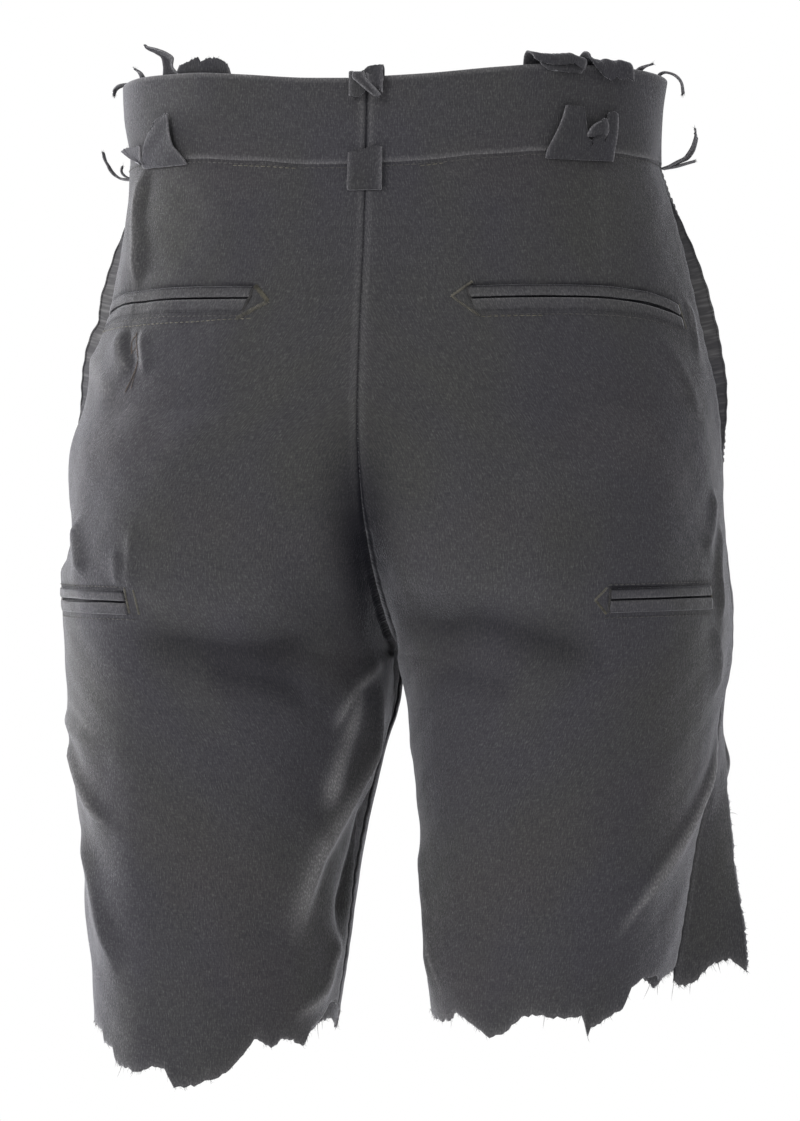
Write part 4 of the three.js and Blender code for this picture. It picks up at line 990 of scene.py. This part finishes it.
# Each loop is its side, whether its strips are placed from the centre back and not from the side seam,
# and its strips: cup, path, torn start and torn end. A path's rows give the strip's middle, its height,
# its lift off the form and its width. Cup is how far its edges stand off. A torn end is pairs of place
# across the width and height.
LOOPS = {
    "loop_centre_upper": ("left", True, (
        (0.0, ((0, 3, INSIDE, 18), (0, 11.8, INSIDE, 18), (0, 14.2, -2.6, 18.5), (0, 14.6, 0.2, 18.5),
               (0, 13.6, 2.3, 18.5), (0, 9, 2.7, 18.4), (0, 1.6, 3.0, 18)),
         None, ((-1, 0), (-0.4, -0.6), (-0.1, 1.5), (0.1, 6), (0.5, 7.5), (1, 8))),
        (1.1, ((-4, 14.2, 1.5, 7), (-3.4, 11.5, 4.0, 7.5), (0, 7.6, 4.6, 6.5), (3.6, 3.8, 5.2, 6),
               (6.4, 0.8, 4.4, 4.5)),
         None, ((-1, 0.6), (0.2, -0.5), (1, 1))),
        (0.5, ((4.6, 14.4, 1.6, 9), (5.0, 12, 3.4, 9), (5.6, 8.5, 3.6, 7), (6.8, 5.2, 3.2, 5)),
         None, ((-1, -1), (0, 1), (1, -2))),
    )),
    "loop_centre_lower": ("left", True, (
        (0.25, ((0, -27, 3.0, 18.2), (0, -33, 2.5, 18.4), (0, -41, 2.3, 18.6), (0, -43.6, 2.0, 18.8),
                (0, -45.6, 2.9, 18.9), (0, -47.8, 2.3, 18.8), (0, -48.4, 0.9, 18.6)),
         ((-1, -2.2), (-0.3, -1), (0.2, 0.4), (0.8, 1.6), (1, 0.6)), None),
    )),
    "loop_back_upper_left": ("left", False, (
        (0.4, ((108, 6, INSIDE, 42), (108, 13, INSIDE, 42), (109, 18, INSIDE + 0.6, 38),
               (110, 22.5, -3.2, 34)),
         None, ((-1, 0.5), (-0.7, 2.0), (-0.25, 4.5), (-0.15, 1.6), (0.1, 3.4), (0.55, 3.2), (0.9, 0.2),
                (1, -3))),
        (0.9, ((87, 10, INSIDE, 14), (86, 18, INSIDE + 0.8, 13), (84.5, 23, -2.6, 8), (85.5, 27, -1.6, 9.5),
               (81, 30.5, -0.4, 10.5), (75, 33.2, 0.8, 8.5), (68.5, 35.6, 1.6, 1.5)),
         None, None),
    )),
    "loop_back_upper_right": ("right", False, (
        (0.5, ((103, 10, INSIDE, 30), (103, 19.5, INSIDE, 31), (103, 22.6, -2.4, 32), (103, 23.8, 0.4, 32),
               (102, 23.0, 3.4, 32), (101, 20.6, 5.0, 30), (99, 18.4, 4.2, 26)),
         None, ((-1, -1.5), (-0.5, 2.5), (0, 0.8), (0.6, 1.4), (1, 3))),
        (-0.8, ((98, 20.6, 2.0, 26), (97.5, 18.8, 2.6, 25), (96, 16.4, 2.8, 20), (94, 15.4, 2.4, 15)),
         None, ((-1, 0.3), (0, 0.8), (1, 1.4))),
        (0.6, ((71, 10, INSIDE, 29), (71, 19.5, INSIDE, 30), (71, 22.2, -2.4, 31), (71, 23.2, 0.4, 31),
               (70.5, 22.4, 2.8, 30.5), (69, 19, 4.4, 29), (66, 14.5, 4.8, 25)),
         None, ((-1, -1.5), (-0.6, 0.6), (-0.35, -1.6), (0, 0.4), (0.25, -2), (0.6, -0.6), (0.85, 2),
                (1, 7))),
    )),
    "loop_back_lower_left": ("left", False, (
        (0.5, ((81, -5, 2.6, 14), (79, -11, 3.2, 18), (78, -16.5, 3.8, 22), (78, -21.5, 4.2, 26),
               (79, -26.5, 3.6, 33), (79.5, -30.4, 2.0, 38), (79.5, -31.4, 0.9, 38)),
         ((-1, -3), (-0.4, -0.6), (0.3, 0.9), (1, 1.5)), None),
        (1.6, ((48, -18.9, 4.6, 33), (51, -21.6, 4.4, 26), (54, -24.6, 3.8, 18), (58, -27.6, 3.0, 9),
               (60.5, -29.6, 2.0, 5)),
         ((-1, -0.4), (-0.3, 0.5), (0.4, -0.3), (1, 0.3)), None),
    )),
    "loop_back_lower_right": ("right", False, (
        (0.4, ((78.5, -3.6, 2.9, 33), (80, -11, 3.6, 35), (83, -20, 3.8, 38), (85, -27, 3.0, 41),
               (85.5, -30.2, 1.8, 42), (85.5, -31.2, 0.9, 42)),
         ((-1, -2.4), (-0.85, -0.6), (-0.62, -1.5), (-0.56, -9), (-0.4, -11), (-0.1, -16), (0.02, -18),
          (0.2, -16.5), (0.3, -4), (0.36, 0.6), (0.7, 0.8), (1, 1.2)), None),
        (1.2, ((76.5, -18.6, 2.4, 13), (76, -15, 4.6, 12), (75, -11.5, 5.4, 8), (73, -9.6, 5.0, 4)),
         None, ((-1, 0.5), (1, -0.5))),
    )),
    "loop_side_upper_left": ("left", False, (
        (0.6, ((-4, 9, INSIDE, 10), (-4, 17.2, INSIDE, 10), (-4, 19.8, -2.8, 9.5), (-4, 20.8, -0.4, 9),
               (-4, 20.6, 3, 8.5), (-4, 20.0, 5.6, 8), (-5, 18.6, 8.2, 6.5), (-5, 16, 9.2, 5)),
         None, ((-1, 1.2), (0.2, -0.8), (1, 0.6))),
        (0.4, ((56, 12, INSIDE, 7), (57, 19, INSIDE + 0.8, 6), (58, 22, -1.0, 4.5), (56, 24.0, 1.0, 3)),
         None, ((-1, 0.8), (1, -0.8))),
    )),
    "loop_side_lower_left": ("left", False, (
        (0.7, ((2, -15, 17.6, 2), (2, -18.5, 17.4, 5), (1, -24, 16, 6.5), (0, -29.5, 13, 8),
               (-1, -32.6, 8.6, 9), (-1, -33.2, 4, 10), (-1, -33, 0.8, 10)),
         ((-1, -1), (1, 1)), None),
        (0.5, ((8, -32.4, 1.2, 7), (8, -31.2, 4.2, 6), (7, -28.6, 6.4, 5), (6, -26.2, 6.2, 4)),
         None, ((-1, 0.8), (0, -0.5), (1, 0.8))),
    )),
    "loop_side_upper_right": ("right", False, (
        (0.6, ((-2, 11, INSIDE, 10), (-2, 19.3, INSIDE, 10), (-2, 21.7, -2.8, 9.5), (-2, 22.7, -0.2, 9),
               (-2, 22.5, 2.8, 9), (-2, 21.2, 6, 8.5), (-1, 18, 9, 8), (0, 12.6, 10.8, 6)),
         None, ((-1, 0.5), (0.3, -0.8), (1, -0.4))),
        (0.4, ((40, 12, INSIDE, 7), (40, 20, INSIDE + 0.8, 6.5), (39, 22.6, -0.8, 5), (36, 24.2, 2.2, 3)),
         None, ((-1, 0.6), (1, -0.6))),
    )),
    "loop_side_lower_right": ("right", False, (
        (0.7, ((3, -9.5, 19.4, 4), (3, -11.5, 19.8, 8), (2, -17.5, 18.6, 8.5), (1, -23.8, 14.6, 9),
               (0, -28, 9, 9.5), (0, -30, 4.4, 10), (0, -30.4, 0.8, 10)),
         ((-1, -2), (0, 0.6), (1, 1.4)), None),
        (0.3, ((-3, -30.2, 1.6, 6), (-3, -30.4, 8, 5), (-3, -29.6, 14, 4), (-3, -28.6, 19, 3)),
         None, ((-1, -0.6), (1, 0.6))),
    )),
}
loop_serge = serge("loop serge", 0.9, blue=0.03)
shred = np.random.default_rng(11)
torn_ends = []


def loop_strip(side, centred, cup, path, start, end):
    """A torn strip's points, normals and places: its path's rows joined by smooth curves along their run
    and carried across the width, with the edges standing off by cup times the square of the place across.
    A torn end moves the heights in proportion to the way along the strip."""
    rows = np.array(path, float)
    run = travelled(rows[:, :3])
    t = np.linspace(0, run[-1], max(8, int(run[-1] / LOOP_STEP)))
    middle, z, lift, width = (smooth_curve(list(zip(run, rows[:, i])))(t)[:, None] for i in range(4))
    across = np.linspace(-1, 1, max(7, int(rows[:, 3].max() / LOOP_STEP)))
    share = (t / run[-1])[:, None]
    for ends, weight in ((start, 1 - share), (end, share)):
        if ends:
            ragged = np.interp(across, *np.array(ends, float).T) + shred.normal(0, 0.22, len(across))
            z = z + ragged * weight**1.3
    lift = lift + cup * across**2 + 0.22 * np.sin(across * 3.1 + t[:, None] / 3.3) * np.minimum(share * 4, 1)
    around = middle + across * width / 2
    if centred:
        around = around + panel_width(side, "back", z)
    around, z, along = np.broadcast_arrays(around, z, t[:, None])
    form, outwards = bare_face(side, around, z)
    return form + outwards * lift[..., None], outwards, np.stack([around, along], -1)


for name, (side, centred, strips) in LOOPS.items():
    points, places, faces, wear, count, area = [], [], [], [], 0, 0.0
    for cup, path, start, end in strips:
        net, outwards, place = loop_strip(side, centred, cup, path, start, end)
        over, down = net[:, 1:] - net[:, :-1], net[1:] - net[:-1]
        facing = np.sum(np.cross(down[-1, :-1], over[-2]) * outwards[-1, :-1])
        faces += list(net_faces(*net.shape[:2], facing > 0, first=count))
        area += float(np.linalg.norm(np.cross(down[:, :-1], over[:-1]), axis=-1).sum()) * MM * MM
        torn_ends += [(net[i], net[i] - net[j]) for i, j, ends in ((0, 2, start), (-1, -3, end)) if ends]
        column = np.arange(net.shape[1])
        edge = np.minimum(column, column[::-1]) * LOOP_STEP
        wear.append(np.broadcast_to(0.75 * np.exp(-edge / 0.9), net.shape[:2]).ravel())
        points.append(net.reshape(-1, 3))
        places.append(place.reshape(-1, 2))
        count += len(points[-1])
    loop = make_piece(
        name + "_cloth", np.concatenate(points), faces, np.concatenate(places), loop_serge,
        wear=np.concatenate(wear), deep=0.0,
    )
    width = max(row[3] for _cup, path, _start, _end in strips for row in path) * MM
    stand_for(loop, LOOP_WALL, name, (width, area / width), ["serge_waistband_" + side])

# ---- Sewing -----------------------------------------------------------------------------------
# Everything sewn in thread: prick stitches under the waist seam, the pockets' lower stitching and
# arrow tacks in pale thread, the fly's curve, the pocket mouths, the buttonhole, and a mend in brown.

STITCH = {"length": 2.5, "pitch": 3.5, "width": 0.55, "height": 0.45}
TACK = {"length": 2.7, "pitch": 0.6, "width": 0.5, "height": 0.5}
SATIN = {"length": 1.5, "pitch": 0.62, "width": 0.5, "height": 0.42}
MEND = {"length": 1.0, "pitch": 0.8, "width": 0.45, "height": 0.4}
AHEAD = 0.4


def thread(name, colour):
    """Spun thread: its plies are a fine noise, and soil darkens it in patches."""
    material, start = blank_material(name)
    place = start.node("TexCoord", output=3)
    plies = start.node("TexNoise", {}, {0: place, "Scale": 2400.0, "Detail": 2.0})
    soil = start.node("TexNoise", {}, {0: place, "Scale": 420.0, "Detail": 3.0}).clamped(0.36, 0.66)
    worn = soil.blend(tuple(v * 0.38 for v in colour) + (1,), colour + (1,))
    bump = start.node("Bump", {}, {"Strength": 0.4, "Distance": 0.0001, "Height": plies})
    finish = start.node("BsdfPrincipled", {}, {
        "Base Color": worn, "Roughness": 0.75 + plies * 0.2, "Normal": bump, "Sheen Weight": 0.2,
    })
    start.node("OutputMaterial", {}, {"Surface": finish})
    return material


def tubes(rings, sides):
    """Closed tubes, one to each row of a ring's points, from rings of that many sides: their points, and
    their walls and end caps as faces."""
    points = np.stack(rings, 1)
    ring = np.arange(len(rings)).reshape(-1, sides)
    turned = np.roll(ring, -1, 1)
    walls = np.stack([ring[:-1], turned[:-1], turned[1:], ring[1:]], -1).reshape(-1, 4)
    caps = np.stack([ring[0, ::-1], ring[-1]])
    first = len(rings) * np.arange(len(points))[:, None, None]
    walls, caps = (walls + first).reshape(-1, 4), (caps + first).reshape(-1, sides)
    return points.reshape(-1, 3), list(walls) + list(caps)


def bars(middles, along, normals, length, width, height):
    """Little rounded bars, one to a stitch: four rings of four points, narrow at the ends."""
    along = unit(along - normals * np.sum(along * normals, -1, keepdims=True))
    aside = np.cross(normals, along)
    rings = []
    for place, size in ((-0.5, 0.35), (-0.28, 1.0), (0.28, 1.0), (0.5, 0.35)):
        centre = middles + along * (length * place)
        for left, up in ((1, 0), (0, 1), (-1, 0), (0, -0.5)):
            rings.append(centre + aside * (left * size * width / 2) + normals * (up * size * height))
    return tubes(rings, 4)


def sewn_line(side, path, kind, surface, seed, across=False):
    """Stitches along a path of (around, z), a pitch apart, laid on a surface, with each one a little out
    of line. Across turns them square to the path, as in satin stitch."""
    rows = np.array(path, float)
    run = travelled(rows)

    def place(at):
        """The path's (around, z) at a distance along it."""
        return np.interp(at, run, rows[:, 0]), np.interp(at, run, rows[:, 1])

    at = np.arange(kind["pitch"] / 2, run[-1], kind["pitch"])
    points, normals = surface(side, *place(at))
    along = unit(surface(side, *place(at + AHEAD))[0] - surface(side, *place(at - AHEAD))[0])
    hand = np.random.default_rng(seed)
    along = unit(along + hand.normal(0, 0.07, along.shape))
    if across:
        along = np.cross(normals, along)
    length = kind["length"] * (1 + hand.normal(0, 0.08, (len(at), 1)))
    return bars(points, along, normals, length, kind["width"], kind["height"])


def add_sewing(name, rows, finish):
    """One piece from several rows of stitches."""
    points, faces, count = [], [], 0
    for row_points, row_faces in rows:
        points.append(row_points)
        faces += [face + count for face in row_faces]
        count += len(row_points)
    points = np.concatenate(points)
    sewing = make_piece(name, points, faces, points[:, [0, 2]], finish)
    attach(sewing, "root")


def at_lift(lift):
    """The panels' face, lifted by that much."""
    return lambda side, around, z: panel_face(side, around, z, lift, cut=False)


def on_band(side, around, z):
    """The waistband's face at a place."""
    turn = -around / np.where(around > 0, panel_width(side, "back", z), panel_width(side, "front", z))
    middle = waist_at[side](np.clip(turn, -1, 1))
    return band_face(side, turn, z - middle, BAND_PROUD + 0.05)[:2]


pale_rows, dark_rows, brown_rows = [], [], []
UNDER_BAND_Z, MOUTH_EDGE = -31.0, -6.0
FLY_STITCHES = {"from_edge": 38, "top": -34, "turn": -182, "turn_in": 36}
for side in OUTWARD:
    turn = np.linspace(-0.99, 0.97, 60)
    back, front = (panel_width(side, half, UNDER_BAND_Z) for half in ("back", "front"))
    around, z = -turn * np.where(turn < 0, back, front), waist_at[side](turn) - BAND_HEIGHT / 2 - 1.7
    dark_rows.append(sewn_line(side, np.stack([around, z], -1), STITCH, at_lift(0.0), 21))
    z = np.linspace(SIDE_POCKET["top"] + 12, SIDE_POCKET["bottom"] - 4, 40)
    dark_rows.append(sewn_line(side, np.stack([np.full(40, MOUTH_EDGE), z], -1), STITCH, at_lift(0.0), 22))
    for pocket, sizes in POCKETS.items():
        line = np.linspace(sizes[side][0][0] + 1, sizes[side][-1][0] + 4, 50)
        below = np.stack([line, smooth_curve(sizes[side])(line) - sizes["lower"] - 2.6], -1)
        dark_rows.append(sewn_line(side, below, STITCH, at_lift(0.0), 23))
        if pocket == "thigh":
            above = below + (0, sizes["lower"] + sizes["upper"] + 4.6)
            dark_rows.append(sewn_line(side, above, STITCH, at_lift(0.0), 24))

dashes = {
    "left": (((160, -117.6), (18, -120.4)), ((128, -33.4), (168, -36.6))),
    "right": (((163, -117.6), (128, -116.6)), ((176, -36.0), (163, -34.6))),
}
for side, lines in dashes.items():
    pale_rows += [sewn_line(side, line, STITCH, at_lift(0.05), 30 + i) for i, line in enumerate(lines)]

# Arrow tacks: stitch, top, tip and foot of each arrow, and the bar across its root.
TACKS = (
    ("left", TACK, (153, -99.6), (164.5, -108.6), (151, -117.6), (152.5, -101), (152.5, -114.6)),
    ("right", SATIN, (160.5, -98.6), (174, -106.6), (163, -117.2), (164, -101), (164, -115.6)),
    ("right", SATIN, (144.5, -261.4), (151, -268), (143.6, -275.6), (142.6, -262), (142.6, -274.8)),
)
for side, kind, top, tip, foot, *bar in TACKS:
    pale_rows.append(sewn_line(side, (top, tip, foot), kind, at_lift(0.1), 40, across=True))
    dark_rows.append(sewn_line(side, bar, SATIN, at_lift(0.1), 41, across=True))
BARS = (
    ("left", (147.4, -262), (147, -275.6)), ("left", (153.6, -262.6), (153.2, -276)),
    ("right", (55, -260.6), (55.4, -273.4)), ("left", (44, -262), (44, -275)),
    ("right", (31, -107.6), (30.4, -121)),
)
pale_rows += [sewn_line(side, line, SATIN, at_lift(0.1), 42, across=True) for side, *line in BARS]
MENDS = (
    (((84, -123), (89, -129), (96, -137), (99, -147), (101, -154)), 43, True),
    (((85, -124), (82, -128), (85, -134), (90, -131)), 44, False),
    (((97, -139), (98, -149), (97, -156)), 45, False),
)
brown_rows += [sewn_line("left", line, MEND, at_lift(0.1), seed, across) for line, seed, across in MENDS]

reach, turn_z = FLY_STITCHES["from_edge"], FLY_STITCHES["turn"]
turn_in = np.linspace(0, np.pi / 2, 14)[1:]
straight_z = np.linspace(FLY_STITCHES["top"], turn_z, 40)
curve_z = turn_z - FLY_STITCHES["turn_in"] * np.sin(turn_in)
fly_line = np.concatenate([
    np.stack([reach - panel_width("left", "front", straight_z), straight_z], -1),
    np.stack([reach * np.cos(turn_in) + 2 - panel_width("left", "front", curve_z), curve_z], -1),
])
dark_rows.append(sewn_line("left", fly_line, STITCH, at_lift(0.0), 50))

# The buttonhole's two worked edges, and the cross of thread in the button's four holes.
edge_around = -panel_width("left", "front", 0.0)
hole_z = float(waist_at["left"](1.0))
hole_start = BUTTON_FROM_EDGE - HOLE_BEFORE + edge_around
for above in (-0.9, 0.9):
    line = ((hole_start, hole_z + above), (hole_start + HOLE_LENGTH, hole_z + above))
    dark_rows.append(sewn_line("left", line, SATIN, on_band, 51, across=True))

seat, seat_normal = on_band("left", np.array([BUTTON_FROM_EDGE + edge_around]), np.array([hole_z]))
level = unit(np.cross(seat_normal, [[0.0, 0.0, 1.0]]))
upright = np.cross(level, seat_normal)
cross_at = seat + seat_normal * (BUTTON_THICKNESS + THREAD_LIFT)
for lean in (-1, 1):
    for shift in (-0.35, 0.0, 0.35):
        middle = cross_at + unit(level - lean * upright) * shift
        pale_rows.append(bars(middle, level + lean * upright, seat_normal, 2 * HOLE_OFFSET * 1.42, 0.5, 0.5))

for name, rows, colour in (
    ("pale", pale_rows, (0.150, 0.138, 0.104)),
    ("dark", dark_rows, (0.062, 0.058, 0.056)),
    ("brown", brown_rows, (0.115, 0.082, 0.062)),
):
    add_sewing("thread_" + name, rows, thread(name + " thread", colour))

# ---- Frayed edges -----------------------------------------------------------------------------
# Wool fibres and yarn ends that stand out of the torn hems, the rip and the torn loops.

FIBRE_WIDTH = 0.16
fray = np.random.default_rng(5)


def fibres(roots, directions, length, width, droop):
    """Bent, tapering three-sided tubes: each leaves its root along its direction and bends aside and
    downwards with the square of the way along it."""
    n = len(roots)
    directions = unit(directions)
    bend = unit(np.cross(directions, fray.normal(0, 1, (n, 3)))) * fray.uniform(0.1, 0.7, (n, 1)) * length
    bend[:, 2] -= droop * length[:, 0]
    side = unit(np.cross(directions, unit(fray.normal(0, 1, (n, 3)))))
    upper = np.cross(directions, side)
    rings = []
    for t, size in ((0.0, 1.0), (0.35, 0.9), (0.7, 0.65), (1.0, 0.15)):
        centre = roots + directions * length * t + bend * t * t
        for angle in (0, 2.1, 4.2):
            rings.append(centre + (side * np.cos(angle) + upper * np.sin(angle)) * width * size / 2)
    return tubes(rings, 3)


def along_edge(edge, outward, count, low, high, droop, width=FIBRE_WIDTH):
    """Fibres at random places of an edge, pointing outward with some scatter."""
    place = fray.uniform(0, len(edge) - 1.001, count)
    i, f = place.astype(int), (place % 1)[:, None]
    roots = edge[i] * (1 - f) + edge[i + 1] * f
    outward = np.broadcast_to(outward, edge.shape)[i]
    length = low + (high - low) * fray.uniform(0, 1, (count, 1)) ** 2.5
    return fibres(roots, unit(outward) + fray.normal(0, 0.45, (count, 3)), length, width, droop)


DOWN, ASIDE = np.array([0.0, 0.0, -1.0]), np.array([-1.0, 0.3, -0.2])
frays = []
for key, edge in hem_edges.items():
    sparse = key in ("flap side", "rip side")
    outward, many, longest, few = (ASIDE, 120, 1.6, 1) if sparse else (DOWN, 260, 2.8, 5)
    frays.append(along_edge(edge, outward, many, 0.4, longest, 0.1))
    frays.append(along_edge(edge, outward, few, 4.0, 8.0, 0.4, 0.3))
for edge, outward in torn_ends:
    frays.append(along_edge(edge, outward, 34, 0.4, 2.2, 0.05))
add_sewing("fray", frays, thread("loose wool", (0.058, 0.056, 0.062)))

# ---- Studio -----------------------------------------------------------------------------------
# A pale floor under a bright even surround, a large soft light above the camera's left shoulder, a weak
# one at its right, a tall soft light at each side and one overhead.

FLOOR_Z, FLOOR_REACH, FLOOR_SIDES = -1.02, 3.6, 96
SURROUND_LIGHT = 0.5
WHITE = (1.0, 1.0, 1.0, 1)
floor_mesh = bpy.data.meshes.new("floor")
rim = np.linspace(0, 2 * np.pi, FLOOR_SIDES + 1)[:-1]
rim = np.stack([np.cos(rim) * FLOOR_REACH, np.sin(rim) * FLOOR_REACH, np.full(FLOOR_SIDES, FLOOR_Z)], -1)
floor_mesh.from_pydata(rim.tolist(), [], [tuple(range(FLOOR_SIDES))])
floor_paint, start = blank_material("floor paint")
painted = start.node("BsdfPrincipled", {}, {
    "Base Color": (0.93, 0.93, 0.94, 1), "Roughness": 0.9, "Emission Color": WHITE, "Emission Strength": 0.2,
})
start.node("OutputMaterial", {}, {"Surface": painted})
floor_mesh.materials.append(floor_paint)
place_object("floor", floor_mesh)

surround = bpy.data.worlds.new("surround")
surround.use_nodes = True
background = surround.node_tree.nodes["Background"]
background.inputs["Color"].default_value = WHITE
seen = Socket(surround.node_tree).node("LightPath")
strength = seen.node("Mix", {"data_type": "FLOAT"}, {0: seen, 2: SURROUND_LIGHT, 3: 1.0})
surround.node_tree.links.new(strength.link, background.inputs["Strength"])
bpy.context.scene.world = surround

TARGET = np.array([0.0, 0.0, -0.25])
LIGHTS = (
    ("key light", (1.9, 2.5, 1.5), (1.4, 1.4), 48),
    ("fill light", (-1.6, 2.6, 0.2), (1.2, 1.8), 5),
    ("left light", (2.1, -0.9, 0.0), (0.6, 2.4), 98),
    ("right light", (-1.9, -1.9, 0.0), (0.6, 2.4), 5),
    ("top light", (0.0, -0.2, 2.6), (2.4, 2.4), 30),
)


def looking(place, target):
    """The turn that points an object's -Z axis from a place to a target, with Z up."""
    return (Vector(target) - Vector(place)).to_track_quat("-Z", "Y").to_euler()


for name, place, size, power in LIGHTS:
    lamp = bpy.data.lights.new(name, "AREA")
    lamp.shape = "RECTANGLE"
    lamp.size, lamp.size_y = size
    lamp.energy = power
    holder = place_object(name, lamp)
    holder.location = place
    holder.rotation_euler = looking(place, TARGET)

CAMERA_PLACE = (-0.4067, 2.568, -0.247)
camera = bpy.data.cameras.new("camera")
camera.lens = 149.65
camera.sensor_width = 36
camera.shift_x = 3 / 1121
holder = place_object("camera", camera)
holder.location = CAMERA_PLACE
holder.rotation_euler = looking(CAMERA_PLACE, (0, 0, CAMERA_PLACE[2]))
bpy.context.scene.camera = holder
bpy.context.scene.view_settings.view_transform = "Standard"
